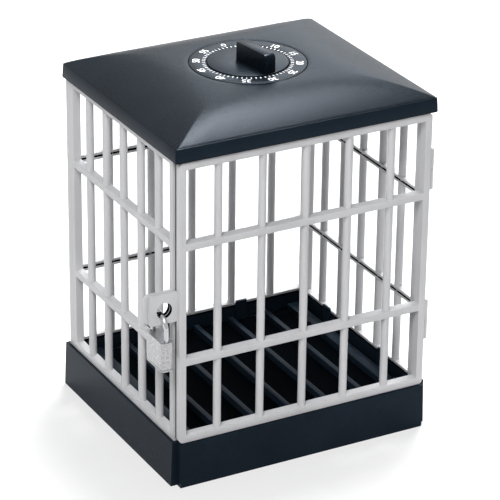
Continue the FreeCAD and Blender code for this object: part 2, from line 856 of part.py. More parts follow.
def make_knob():
    """The knob: a thin disc with a tall tapering fin, turned to its resting minute."""
    body = new_body("timer_knob")
    disc = new_sketch(body, "XY_Plane", knob_low)
    circle(disc, 0, 0, s.knob_radius)
    pad(body, disc, knob_high - knob_low)
    fin = new_sketch(body, "XY_Plane", knob_low)
    rear_half = s.fin_rear_width / 2
    nose_half = s.fin_nose_width / 2
    outline(fin, [(-rear_half, s.fin_rear), (-nose_half, -s.fin_nose),
                  (nose_half, -s.fin_nose), (rear_half, s.fin_rear)])
    pad(body, fin, dial_plane + s.fin_height - knob_low)

    def nose(edge):
        at = edge.CenterOfMass
        return near(at.y, -s.fin_nose) and near(at.z, dial_plane + s.fin_height)

    soften(body, "Fillet", s.fin_nose_round, nose)
    bore = new_sketch(body, "XY_Plane", knob_low)
    circle(bore, 0, 0, s.shaft_radius + s.shaft_fit)
    pocket(body, bore, dial_plane + s.fin_height - s.shaft_top_cover - knob_low, reverse=True)
    place(body, 0, 0, 0, turn=s.fin_turn)


def make_shaft():
    """The upright shaft that the knob and the main wheel turn with."""
    top = dial_plane + s.fin_height - s.shaft_top_cover - s.shaft_end_gap
    keep(rod("Shaft", s.shaft_radius, (bottom_plate_low - s.shaft_end_proud, top)), "timer_shaft")


# ---------------------------------------------------------------- timer case and movement

def make_case():
    """The cup under the roof that holds the movement, and the screws through its ears."""
    shell = rod("CaseShell", s.case_radius, (case_low, ceiling))
    bell_low = case_low + s.case_wall + s.bell_gap
    stud = rod("BellStud", s.bell_peg * 2, (case_low, bell_low))
    peg = rod("BellPeg", s.bell_peg, (case_low, bell_low + s.bell_wall * 2))
    ears = [shell]
    holes = [rod("CaseHollow", s.case_radius - s.case_wall,
                 (case_low + s.case_wall, ceiling + s.cut_margin))]
    screws = []
    for index, angle in enumerate(LID_SCREW_ANGLES):
        x, y = polar(s.ear_offset, angle)
        ears.append(rod(f"Ear{index}", s.ear_radius, (ear_low, ear_high), x, y))
        holes.append(rod(f"EarHole{index}", s.screw_radius + s.screw_fit,
                         (ear_low - s.cut_margin, ear_high + s.cut_margin), x, y))
        shank = rod(f"EarShank{index}", s.screw_radius, (ear_low, ear_low + s.screw_length), x, y)
        head = rod(f"EarHead{index}", s.screw_head_radius,
                   (ear_low - s.screw_head_height, ear_low), x, y)
        screws.append(fuse(f"CaseScrew{index}", [shank, head]))
    cup = cut("CaseCup", fuse("CaseBody", ears), holes)
    keep(fuse("Case", [cup, stud, peg]), "timer_case")
    keep(group("CaseScrews", screws), "case_screws")


def movement_axes():
    """The places of the upright arbors in the movement."""
    return {
        "second": polar(second_centre, s.second_angle),
        "escape": polar(s.escape_offset, s.escape_angle),
        "pallet": polar(s.pallet_offset, s.pallet_angle),
    }


def make_plates():
    """The two plates of the movement and the pillars that hold them apart."""
    for label, low in (("top_plate", top_plate_low), ("bottom_plate", bottom_plate_low)):
        disc = rod(label + "_disc", s.plate_radius, (low, low + s.plate_thick))
        span = (low - s.cut_margin, low + s.plate_thick + s.cut_margin)
        holes = [rod(label + "_centre", s.shaft_radius + s.arbor_fit, span)]
        for name, (x, y) in movement_axes().items():
            holes.append(rod(f"{label}_{name}", s.arbor_radius + s.arbor_fit, span, x, y))
        if label == "bottom_plate":
            holes.append(rod("HammerHole", s.arbor_radius + s.arbor_fit, span, s.hammer_pivot, 0))
        keep(cut(label + "_cut", disc, holes), label)
    pillars = []
    for index, angle in enumerate(PILLAR_ANGLES):
        x, y = polar(s.pillar_offset, angle)
        pillars.append(rod(f"Pillar{index}", s.pillar_radius, (bottom_plate_high, top_plate_low), x, y))
        top = top_plate_low + s.plate_thick
        pillars.append(rod(f"Spacer{index}", s.pillar_radius, (top, ceiling), x, y))
    keep(group("Pillars", pillars), "plate_pillars")


def make_barrel():
    """The barrel, with the coiled mainspring lying inside it."""
    low = bottom_plate_high
    high = low + s.barrel_height
    shell = rod("BarrelShell", s.barrel_radius, (low, high))
    hollow = rod("BarrelHollow", s.barrel_radius - s.barrel_wall,
                 (low + s.barrel_wall, high + s.cut_margin))
    hole = rod("BarrelHole", s.shaft_radius + s.barrel_fit, (low - s.cut_margin, high + s.cut_margin))
    keep(cut("Barrel", shell, [hollow, hole]), "spring_barrel")

    inner = value_of(s.shaft_radius + s.spring_margin)
    pitch = value_of(s.spring_pitch)
    half = value_of(s.spring_strip) / 2
    per_turn = 12
    steps = int(value_of(s.spring_turns) * per_turn)
    floor = value_of(low + s.barrel_wall)

    def bank(side):
        turns = [step / per_turn for step in range(steps + 1)]
        return [Vector((inner + half + pitch * turn + side * half) * math.cos(turn * 2 * math.pi),
                       (inner + half + pitch * turn + side * half) * math.sin(turn * 2 * math.pi),
                       floor) for turn in turns]

    inside, outside = Part.BSplineCurve(), Part.BSplineCurve()
    inside.interpolate(bank(-1))
    outside.interpolate(bank(1))
    ends = [Part.makeLine(bank(-1)[end], bank(1)[end]) for end in (0, -1)]
    edges = Part.__sortEdges__([inside.toShape(), ends[0], outside.toShape(), ends[1]])
    face = Part.Face(Part.Wire(edges))
    spring = doc.addObject("Part::Feature", "Mainspring")
    spring.Shape = face.extrude(Vector(0, 0, value_of(s.barrel_height - s.barrel_wall * 2)))
    keep(spring, "mainspring")


def toothed(body, low, thick, teeth):
    """A spur gear about the body's own axis, with a space between teeth facing +X."""
    pitch = s.gear_module * teeth / 2
    tip = pitch + s.tooth_addendum
    root = pitch - s.tooth_dedendum
    disc(body, tip, low, thick)
    space = new_sketch(body, "XY_Plane", low)
    foot = s.tooth_space_foot
    mouth = s.tooth_space_mouth
    clear = tip + s.cut_margin
    outline(space, [(root, -foot), (tip, -mouth), (clear, -mouth),
                    (clear, mouth), (tip, mouth), (root, foot)])
    first = pocket(body, space, thick, reverse=True)
    around(body, first, teeth)


def around(body, first, count):
    """Repeat a feature about the body's upright axis."""
    ring = body.newObject("PartDesign::PolarPattern", "Ring")
    ring.Originals = [first]
    ring.Axis = (origin_part(body, "Z_Axis"), [""])
    ring.Angle = 360
    bind(ring, "Occurrences", count)
    body.Tip = ring


def disc(body, radius, low, thick):
    """A round boss about the body's own axis."""
    sketch = new_sketch(body, "XY_Plane", low)
    circle(sketch, 0, 0, radius)
    return pad(body, sketch, thick)


def make_wheels():
    """The train: main wheel on the shaft, second wheel, and escape wheel with its pallet."""
    main_low = bottom_plate_high + s.main_gear_rise
    main = new_body("main_wheel")
    toothed(main, main_low, s.gear_thick, s.main_teeth)
    bore = new_sketch(main, "XY_Plane", main_low)
    circle(bore, 0, 0, s.shaft_radius + s.shaft_fit)
    pocket(main, bore, s.gear_thick, reverse=True)
    place(main, 0, 0, 0, turn=s.second_angle)

    arbor_span = (bottom_plate_low, top_plate_low + s.plate_thick)
    wheel_low = bottom_plate_high + s.second_gear_rise
    second_x, second_y = movement_axes()["second"]
    escape_x, escape_y = movement_axes()["escape"]
    bearing = bearing_between(second_x, second_y, escape_x, escape_y)

    second = new_body("second_arbor")
    toothed(second, main_low - s.pinion_margin, s.gear_thick + s.pinion_margin * 2,
            s.second_pinion_teeth)
    disc(second, s.arbor_radius, arbor_span[0], arbor_span[1] - arbor_span[0])
    place(second, second_x, second_y, 0, turn=s.second_angle + 180 + 180 / s.second_pinion_teeth)
    wheel = new_body("second_wheel")
    toothed(wheel, wheel_low, s.wheel_thick, s.second_teeth)
    bored(wheel, wheel_low, s.wheel_thick)
    place(wheel, second_x, second_y, 0, turn=bearing)

    pinion = new_body("escape_arbor")
    toothed(pinion, wheel_low - s.pinion_margin, s.wheel_thick + s.pinion_margin * 2,
            s.escape_pinion_teeth)
    disc(pinion, s.arbor_radius, arbor_span[0], arbor_span[1] - arbor_span[0])
    place(pinion, escape_x, escape_y, 0, turn=bearing + 180 + 180 / s.escape_pinion_teeth)
    escape = new_body("escape_wheel")
    escape_low = bottom_plate_high + s.escape_rise
    disc(escape, s.escape_radius, escape_low, s.wheel_thick)
    gullet = new_sketch(escape, "XY_Plane", escape_low)
    root = s.escape_radius - s.escape_tooth_depth
    clear = s.escape_radius + s.cut_margin
    outline(gullet, [(root, 0), (clear, 0), (clear, s.escape_gullet)])
    around(escape, pocket(escape, gullet, s.wheel_thick, reverse=True), s.escape_teeth)
    bored(escape, escape_low, s.wheel_thick)
    place(escape, escape_x, escape_y, 0)

    pallet_x, pallet_y = movement_axes()["pallet"]
    lever = new_body("pallet_lever")
    disc(lever, s.arbor_radius, arbor_span[0], arbor_span[1] - arbor_span[0])
    arm = new_sketch(lever, "XY_Plane", escape_low)
    inner = s.pallet_finger
    outer = s.pallet_finger + s.pallet_arm
    outline(arm, [(-s.pallet_arm, -outer), (s.pallet_reach, -outer), (s.pallet_reach, -inner),
                  (s.pallet_arm, -inner), (s.pallet_arm, inner), (s.pallet_reach, inner),
                  (s.pallet_reach, outer), (-s.pallet_arm, outer)])
    pad(lever, arm, s.wheel_thick)
    place(lever, pallet_x, pallet_y, 0, turn=bearing_between(pallet_x, pallet_y, escape_x, escape_y))


def bearing_between(from_x, from_y, to_x, to_y):
    """The angle, in degrees, of the line from one place to another."""
    across = to_x - from_x
    up = to_y - from_y
    angle = math.degrees(math.atan2(up.value, across.value))
    return Size(f"atan2({up.text}; {across.text}) / 1 deg", angle)


def bored(body, low, thick):
    """A bore for an arbor through a wheel."""
    bore = new_sketch(body, "XY_Plane", low)
    circle(bore, 0, 0, s.arbor_radius + s.arbor_fit)
    pocket(body, bore, thick, reverse=True)


def make_bell():
    """The bell, a shallow cup on the case's peg, and the hammer that strikes it from inside."""
    low = case_low + s.case_wall + s.bell_gap
    high = low + s.bell_height
    shell = rod("BellShell", s.bell_radius, (low, high))
    hollow = rod("BellHollow", s.bell_radius - s.bell_wall,
                 (low + s.bell_wall, high + s.cut_margin))
    hole = rod("BellHole", s.bell_peg + s.arbor_fit, (low - s.cut_margin, high))
    keep(cut("Bell", shell, [hollow, hole]), "bell")

    hammer = new_body("bell_hammer")
    arm_low = low + s.bell_wall + s.hammer_rise
    disc(hammer, s.arbor_radius, arm_low, bottom_plate_high - arm_low)
    arm = new_sketch(hammer, "XY_Plane", arm_low)
    rectangle(arm, (-(s.hammer_arm / 2), s.hammer_arm / 2), (-s.hammer_reach, s.hammer_arm / 2))
    pad(hammer, arm, s.hammer_arm)
    head = new_sketch(hammer, "XY_Plane", arm_low)
    circle(head, 0, -s.hammer_reach, s.hammer_head_radius)
    pad(hammer, head, s.hammer_arm)
    place(hammer, s.hammer_pivot, 0, 0)


# ---------------------------------------------------------------- padlock

def make_padlock():
    """The padlock, hanging by its shackle in the hasp plates, with its plug and bolt."""
    half = s.shackle_spread / 2
    bolt_low = s.lock_bottom + s.bolt_rise
    bolt_high = bolt_low + s.bolt_height
    leg_side = half - s.shackle_radius

    case = new_body("padlock_body")
    block = new_sketch(case, "XY_Plane", s.lock_bottom)
    rounded(block, s.lock_thick / 2, s.lock_width / 2, s.lock_corner)
    pad(case, block, s.lock_height)
    for side, depth in ((-1, s.short_bore_depth), (1, s.long_bore_depth)):
        bore = new_sketch(case, "XY_Plane", lock_top)
        circle(bore, 0, half * side, s.shackle_radius + s.shackle_fit)
        pocket(case, bore, depth)
    socket = new_sketch(case, "XY_Plane", s.lock_bottom)
    circle(socket, 0, 0, s.plug_radius + s.arbor_fit)
    pocket(case, socket, s.bolt_rise, reverse=True)
    channel = new_sketch(case, "XY_Plane", bolt_high + s.bolt_gap)
    channel_half = s.bolt_width / 2 + s.bolt_gap
    tail = s.bolt_tail + s.bolt_throw + s.bolt_gap
    rectangle(channel, (-channel_half, channel_half), (-half, tail))
    pocket(case, channel, s.bolt_height + s.bolt_gap * 2)
    place(case, lock_x, lock_y, 0)

    plug = new_body("lock_plug")
    disc(plug, s.plug_radius, s.lock_bottom, s.plug_height)
    keyway = new_sketch(plug, "XY_Plane", s.lock_bottom)
    rectangle(keyway, (-(s.keyway_width / 2), s.keyway_width / 2),
              (-(s.keyway_length / 2), s.keyway_length / 2))
    pocket(plug, keyway, s.keyway_depth, reverse=True)
    place(plug, lock_x, lock_y, 0)

    bolt = new_body("lock_bolt")
    slab = new_sketch(bolt, "XY_Plane", bolt_low)
    rectangle(slab, (-(s.bolt_width / 2), s.bolt_width / 2), (-(leg_side + s.bolt_bite), s.bolt_tail))
    pad(bolt, slab, s.bolt_height)
    place(bolt, lock_x, lock_y, 0)

    shackle = new_body("padlock_shackle")
    bend = s.shackle_crown_height - half
    spine = new_sketch(shackle, "YZ_Plane")
    runs = (((-half, lock_top - s.short_leg_depth), (-half, bend)),
            ((half, bend), (half, lock_top - s.long_leg_depth)))
    for run in runs:
        ends = [Vector(value_of(u), value_of(v), 0) for u, v in run]
        line = spine.addGeometry(Part.LineSegment(ends[0], ends[1]), False)
        for point, (u, v) in zip((1, 2), run):
            pin(spine, line, point, u, v)
    bow = Part.Circle(Vector(0, value_of(bend), 0), Z_AXIS, value_of(half))
    arc = spine.addGeometry(Part.ArcOfCircle(bow, 0, math.pi), False)
    spine.addConstraint(Sketcher.Constraint("Coincident", 0, 2, arc, 2))
    spine.addConstraint(Sketcher.Constraint("Coincident", arc, 1, 1, 1))
    constrain(spine, "DistanceY", arc, 3, bend)
    section = new_sketch(shackle, "XY_Plane", lock_top - s.short_leg_depth)
    circle(section, 0, -half, s.shackle_radius)
    pipe = shackle.newObject("PartDesign::AdditivePipe", "Bow")
    pipe.Profile = section
    pipe.Spine = (spine, ["Edge1", "Edge2", "Edge3"])
    notch = new_sketch(shackle, "YZ_Plane", s.shackle_radius + s.cut_margin)
    face = -leg_side + s.bolt_gap
    deep = -(leg_side + s.notch_depth)
    outline(notch, [(face, bolt_high + s.notch_margin), (deep, bolt_high + s.notch_margin),
                    (deep, bolt_low - s.bolt_gap), (face, bolt_low - s.bolt_gap - s.notch_run)])
    pocket(shackle, notch, (s.shackle_radius + s.cut_margin) * 2)
    place(shackle, lock_x, lock_y, 0)

    low = lock_top - s.long_bore_depth + s.lock_spring_wire + s.lock_spring_gap
    high = lock_top - s.long_leg_depth - s.lock_spring_wire - s.lock_spring_gap
    coil = Part.makeHelix(value_of((high - low) / s.lock_spring_turns), value_of(high - low),
                          value_of(s.lock_spring_radius))
    start = Part.Circle(Vector(value_of(s.lock_spring_radius), 0, 0), Y_AXIS,
                        value_of(s.lock_spring_wire))
    spring = doc.addObject("Part::Feature", "LockSpring")
    spring.Shape = Part.Wire(coil.Edges).makePipeShell([Part.Wire([start.toShape()])], True, True)
    keep(place(spring, lock_x, lock_y + half, low), "shackle_spring")


make_base_tray()
make_base_cover()
make_door()
make_side_panels()
make_hinge_pins()
make_lid()
make_dial_ring()
make_knob()
make_shaft()
make_case()
make_plates()
make_barrel()
make_wheels()
make_bell()
make_padlock()

doc.recompute()
for item in doc.Objects:
    if "Invalid" in item.State or "Error" in item.State:
        raise RuntimeError(f"{item.Label} failed: {item.State}")
os.makedirs("parts", exist_ok=True)
for piece in pieces:
    if piece.Shape.isNull() or not piece.Shape.isValid():
        raise RuntimeError(f"{piece.Label} has no valid shape")
    piece.Shape.exportStep(f"parts/{piece.Label}.step")
    print(f"{piece.Label:18s} {len(piece.Shape.Solids)} solids {piece.Shape.Volume:10.1f} mm3")
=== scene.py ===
"""Timed lock container: finishes, soft edges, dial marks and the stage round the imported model."""
import math

import bmesh
import bpy
from mathutils import Matrix, Vector


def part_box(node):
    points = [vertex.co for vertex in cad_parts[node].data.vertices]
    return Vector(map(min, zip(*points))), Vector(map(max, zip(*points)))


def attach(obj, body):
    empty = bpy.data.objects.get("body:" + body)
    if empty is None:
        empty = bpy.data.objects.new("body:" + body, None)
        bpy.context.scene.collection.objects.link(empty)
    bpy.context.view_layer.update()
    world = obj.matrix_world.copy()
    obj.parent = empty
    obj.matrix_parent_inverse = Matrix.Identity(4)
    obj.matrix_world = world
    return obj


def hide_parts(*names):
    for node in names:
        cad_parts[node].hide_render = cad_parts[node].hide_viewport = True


bl_info = {
    "name": "Timed lock container",
    "version": (1, 0, 0),
    "blender": (4, 5, 0),
    "location": "3D View > Sidebar > Lock box",
    "description": "Finishes and fine shapes of a barred box with a clockwork timer in its lid",
    "category": "Object",
}

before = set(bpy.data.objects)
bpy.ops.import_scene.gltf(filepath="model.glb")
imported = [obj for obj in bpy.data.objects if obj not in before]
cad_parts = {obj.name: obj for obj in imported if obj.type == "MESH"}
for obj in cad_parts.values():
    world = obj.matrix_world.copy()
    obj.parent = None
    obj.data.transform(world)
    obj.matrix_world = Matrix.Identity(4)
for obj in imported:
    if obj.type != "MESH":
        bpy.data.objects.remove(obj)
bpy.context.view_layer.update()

MM = 0.001
WHITE = (1.0, 1.0, 1.0, 1.0)
NEUTRAL = WHITE[:3]
COLD = (0.8, 0.9, 1.0)
SHEEN_TINT = (0.66, 0.8, 1.0, 1.0)

# Grain sizes in metres, and the middle of a noise's values.
FINE_GRAIN = 0.0006
COARSE_GRAIN = 0.0009
NOISE_MIDDLE = 0.5

# Steps of the turned and grown shapes.
CORNER_STEPS = 8
SIDE_STEPS = 10
ROOF_STEPS = 16
TURN_STEPS = 96
BOSS_STEPS = 32
NOSE_STEPS = 4
FIN_STEPS = 2

# Vertices nearer than the first are one, edges shorter than the second are none, and the third
# stands in for nought under a fraction.
JOIN_DISTANCE = 1e-6
NO_LENGTH = 1e-7
TINY = 1e-9

# How far the middle of a rounding lies from its corner, as a share of its size, and the roundings
# of the lid's eaves and foot as shares to go in and up.
ARC_MIDDLE = 0.3
EAVES_ARC = ((1.0, 0.4), (ARC_MIDDLE, 0.1), (0.0, -0.5))
FOOT_ARC = ((0.0, 1.0), (ARC_MIDDLE, ARC_MIDDLE), (1.0, 0.0))

# A power that sets the roof's rings closer together towards the eaves, and the corner radii of the
# hollow below it: two as shares of the crown's half width, and one as a part of the skirt's own.
ROOF_SPACING = 1.4
SHOULDER_CORNER = 0.44
CEILING_CORNER = 0.97
INNER_CORNER = 3

# Turns of the bosses about the shaft, how far they go into the ceiling, and the roof over a bore.
BOSS_TURNS = (90.0, 210.0, 330.0)
BOSS_SINK = 0.3 * MM
BORE_COVER = 2 * MM

# A face looks along an axis when its normal's share of it is over the first, or over the second on
# a flat floor. It looks more across than along when under the third, and square to it when under
# the fourth.
ALONG = 0.9
FLAT = 0.99
ACROSS = 0.5
SQUARE = 0.3

MINUTES = 60
MINUTES_PER_NUMBER = 5
DIGIT_STEPS = 4

# How far the knob is turned, which of the fin's edges are sharp, and how far its nose reaches back
# and down, in its own roundings.
KNOB_TURN = math.radians(7.0)
SHARP_EDGE = math.radians(50)
NOSE_BACK, NOSE_DOWN = 2, 1.2

# The camera's sensor in millimetres, and the stage's sizes in metres. The floor's glow grows to
# white between two distances from the object.
SENSOR_WIDTH = 36.0
NEAR_LIMIT, FAR_LIMIT = 0.05, 20.0
FLOOR_RADIUS = 4.0
FLOOR_STEPS = 64
GLOW_START, GLOW_END = 0.25, 0.9
LAMP_AIM = (0, 0, 0.12)

LID_LOW, LID_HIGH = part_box("lid_shell")
RING_LOW, RING_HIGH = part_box("dial_ring")
KNOB_LOW, KNOB_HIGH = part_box("timer_knob")
PANEL_LOW, PANEL_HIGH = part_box("rear_panel")
DOOR_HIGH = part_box("door_panel")[1]


# ---------------------------------------------------------------- shader helpers

class Wire:
    """An output of a node, on which arithmetic adds Math nodes."""

    def __init__(self, nodes, socket):
        self.nodes = nodes
        self.socket = socket

    def maths(self, operation, first, second=0.0):
        return self.nodes.node("ShaderNodeMath", {"operation": operation}, {0: first, 1: second})

    def __add__(self, other):
        return self.maths("ADD", self, other)

    __radd__ = __add__

    def __sub__(self, other):
        return self.maths("SUBTRACT", self, other)

    def __rsub__(self, other):
        return self.maths("SUBTRACT", other, self)

    def __mul__(self, other):
        return self.maths("MULTIPLY", self, other)

    __rmul__ = __mul__

    def __lt__(self, other):
        return self.maths("LESS_THAN", self, other)

    def __gt__(self, other):
        return self.maths("GREATER_THAN", self, other)

    def __abs__(self):
        return self.maths("ABSOLUTE", self)

    def swing(self, amount):
        """Noise turned into a change of up to half an amount each way."""
        return (self - NOISE_MIDDLE) * amount


class Nodes:
    """The node tree of a material or a world while it is laid out."""

    def __init__(self, holder):
        holder.use_nodes = True
        self.tree = holder.node_tree
        self.tree.nodes.clear()

    def node(self, kind, settings, values, output=0):
        """Adds a node with its settings, then its socket values or links, and gives one output."""
        made = self.tree.nodes.new(kind)
        for key, value in settings.items():
            setattr(made, key, value)
        for key, value in values.items():
            if isinstance(value, Wire):
                self.tree.links.new(value.socket, made.inputs[key])
            else:
                made.inputs[key].default_value = value
        return Wire(self, made.outputs[output]) if len(made.outputs) else None

    def seen(self):
        """One or more for a ray from the camera, or one that metal or glass has sent on."""
        camera, glossy, passed = (self.node("ShaderNodeLightPath", {}, {}, kind) for kind in
                                  ("Is Camera Ray", "Is Glossy Ray", "Is Transmission Ray"))
        return camera + glossy + passed


class Finish(Nodes):
    """A procedural material while its nodes are laid out."""

    def __init__(self, name):
        self.material = bpy.data.materials.new(name)
        super().__init__(self.material)
        self.place = self.node("ShaderNodeTexCoord", {}, {}, "Object")

    def stretched(self, scale):
        """Object coordinates multiplied by a scale along each axis."""
        return self.node("ShaderNodeMapping", {"vector_type": "POINT"},
                         {"Vector": self.place, "Scale": scale})

    def noise(self, size, detail=2.0, place=None):
        """Smooth noise from 0 to 1, with features of one size in metres."""
        return self.node("ShaderNodeTexNoise", {"noise_dimensions": "3D"},
                         {"Vector": place or self.place, "Scale": 1.0 / size, "Detail": detail,
                          "Roughness": 0.55})

    def ramp(self, factor, low, high):
        """Spreads the part of a value between low and high over 0 to 1."""
        return self.node("ShaderNodeMapRange", {"clamp": True, "interpolation_type": "SMOOTHSTEP"},
                         {"Value": factor, "From Min": low, "From Max": high})

    def blend(self, factor, first, second):
        """Mixes two colours."""
        return self.node("ShaderNodeMix", {"data_type": "RGBA"},
                         {0: factor, 6: first, 7: second}, 2)

    def axis(self, name):
        """One of the object coordinates."""
        return self.node("ShaderNodeSeparateXYZ", {}, {0: self.place}, name)

    def length_of(self, place):
        """The length of a coordinate, which is how far it lies from the origin."""
        return self.node("ShaderNodeVectorMath", {"operation": "LENGTH"}, {0: place}, "Value")

    def bump(self, height, distance, strength=1.0):
        """A normal that stands up and down with a height."""
        return self.node("ShaderNodeBump", {},
                         {"Height": height, "Distance": distance, "Strength": strength})

    def surface(self, **values):
        """Ends the material in a Principled surface, by socket names with underscores."""
        sockets = {key.replace("_", " "): value for key, value in values.items()}
        shader = self.node("ShaderNodeBsdfPrincipled", {}, sockets)
        self.node("ShaderNodeOutputMaterial", {}, {"Surface": shader})
        return self.material


def shade(colour, factor):
    """A colour made lighter or darker, with full alpha."""
    return (*(min(1.0, channel * factor) for channel in colour[:3]), 1.0)


# ---------------------------------------------------------------- finishes

def satin_black(name, colour, gloss, grain, shine, depth=0.00016):
    """Black moulded plastic with a fine spark-eroded grain and a soft sheen."""
    finish = Finish(name)
    fine = finish.noise(size=grain, detail=3.0)
    broad = finish.noise(size=0.035, detail=4.0)
    pits = finish.ramp(finish.noise(size=grain * 2.6, detail=1.0), low=0.62, high=0.75)
    tone = finish.blend(finish.ramp(broad, low=0.3, high=0.7), shade(colour, 0.85),
                        shade(colour, 1.2))
    return finish.surface(Base_Color=tone, Roughness=gloss + fine.swing(0.4) + broad * 0.05,
                          Specular_IOR_Level=shine, Specular_Tint=SHEEN_TINT,
                          Normal=finish.bump(fine + pits * -0.35, distance=depth, strength=0.6))


def deep_black(name, colour):
    """Near-black dull finish with almost no sheen, painted where shade falls: in grooves, gaps,
    holes and between ribs.
    """
    finish = Finish(name)
    fine = finish.noise(size=COARSE_GRAIN, detail=3.0)
    tone = finish.blend(fine, shade(colour, 0.2), shade(colour, 0.5))
    return finish.surface(Base_Color=tone, Roughness=0.8 + fine.swing(0.2),
                          Specular_IOR_Level=0.01,
                          Normal=finish.bump(fine, distance=0.0001, strength=0.5))


def cage_grey(name, colour, seam_shadow_start=None):
    """Light grey moulded plastic with faint flow marks, and, past a depth if given, a painted
    shadow along the seam.
    """
    finish = Finish(name)
    flow = finish.noise(size=0.012, detail=3.0, place=finish.stretched((1.0, 1.0, 0.18)))
    broad = finish.noise(size=0.05)
    fine = finish.noise(size=COARSE_GRAIN, detail=3.0)
    tone = finish.blend(finish.ramp(flow * 0.6 + broad * 0.4, low=0.3, high=0.7),
                        shade(colour, 0.93), shade(colour, 1.05))
    if seam_shadow_start is not None:
        # Painted shadow: past this depth the grey turns almost black, for the shade in the gap
        # between the door and the left panel.
        seam = finish.ramp(finish.axis("Y"), low=seam_shadow_start, high=seam_shadow_start + 0.3 * MM)
        tone = finish.blend(seam, tone, shade(colour, 0.07))
    return finish.surface(Base_Color=tone, Roughness=0.46 + fine.swing(0.12) + flow.swing(0.1),
                          Specular_IOR_Level=0.45,
                          Normal=finish.bump(fine, distance=0.00005, strength=0.4))


def printed_white(name, colour):
    """White ink, slightly uneven, with specks where the plastic's grain shows."""
    finish = Finish(name)
    specks = finish.ramp(finish.noise(size=0.0004), low=0.66, high=0.78)
    broad = finish.noise(size=0.004)
    tone = finish.blend(specks * 0.5, shade(colour, 1.0), shade(colour, 0.55))
    return finish.surface(Base_Color=tone, Roughness=0.42 + broad * 0.12,
                          Normal=finish.bump(specks, distance=0.00002, strength=0.5))


def plated(name, colour, roughness, scratch_scale, depth):
    """Plated or drawn metal with fine scratches and a faintly uneven polish."""
    finish = Finish(name)
    scratches = finish.noise(size=FINE_GRAIN, place=finish.stretched(scratch_scale))
    cloud = finish.noise(size=0.006, detail=3.0)
    tone = finish.blend(finish.ramp(cloud, low=0.3, high=0.7), shade(colour, 0.9),
                        shade(colour, 1.06))
    return finish.surface(Base_Color=tone, Metallic=1.0,
                          Roughness=roughness + scratches.swing(0.12) + cloud.swing(0.08),
                          Normal=finish.bump(scratches, distance=depth, strength=0.4))


def turned_brass(name, colour):
    """Brass with a circular grain about the shaft and a few darker stains."""
    finish = Finish(name)
    radius = finish.length_of(finish.stretched((1.0, 1.0, 0.0)))
    place = finish.node("ShaderNodeCombineXYZ", {}, {"X": radius, "Y": 0.0, "Z": finish.axis("Z")})
    grain = finish.noise(size=0.0003, place=place)
    stain = finish.ramp(finish.noise(size=0.008, detail=4.0), low=0.5, high=0.8)
    tone = finish.blend(stain * 0.6, shade(colour, 1.0), shade(colour, 0.62))
    return finish.surface(Base_Color=tone, Metallic=1.0,
                          Roughness=0.27 + grain.swing(0.2) + stain * 0.12,
                          Normal=finish.bump(grain, distance=0.00002, strength=0.5))


def lock_case_chrome(name, colour, seam_height, seam_width):
    """Speckled satin plating with a pressed seam line near the foot of the lock's case."""
    finish = Finish(name)
    speck = finish.ramp(finish.noise(size=0.0008, detail=3.0), low=0.3, high=0.7)
    cloud = finish.noise(size=0.005, detail=3.0)
    seam = abs(finish.axis("Z") - seam_height) < seam_width / 2
    plain = finish.blend(speck, shade(colour, 0.66), shade(colour, 1.05))
    tone = finish.blend(seam * 0.8, plain, shade(colour, 0.12))
    return finish.surface(Base_Color=tone, Metallic=0.85,
                          Roughness=0.34 + cloud.swing(0.14) + seam * 0.3,
                          Normal=finish.bump(speck * 0.4 - seam, distance=0.0002, strength=0.5))


def pale_floor(name, colour, glow):
    """A plain pale floor that is as bright as the backdrop and keeps the shadow."""
    finish = Finish(name)
    speck = finish.noise(size=0.01, detail=3.0)
    tone = finish.blend(speck, shade(colour, 0.99), shade(colour, 1.0))
    matt = finish.node("ShaderNodeBsdfDiffuse", {}, {"Color": tone})
    far = finish.ramp(finish.length_of(finish.place), low=GLOW_START, high=GLOW_END)
    lift = finish.blend(far, (glow, glow, glow, 1.0), WHITE)
    lit = finish.node("ShaderNodeEmission", {}, {"Color": lift, "Strength": 1.0})
    both = finish.node("ShaderNodeAddShader", {}, {0: matt, 1: lit})
    shader = finish.node("ShaderNodeMixShader", {}, {0: finish.seen(), 1: matt, 2: both})
    finish.node("ShaderNodeOutputMaterial", {}, {"Surface": shader})
    return finish.material


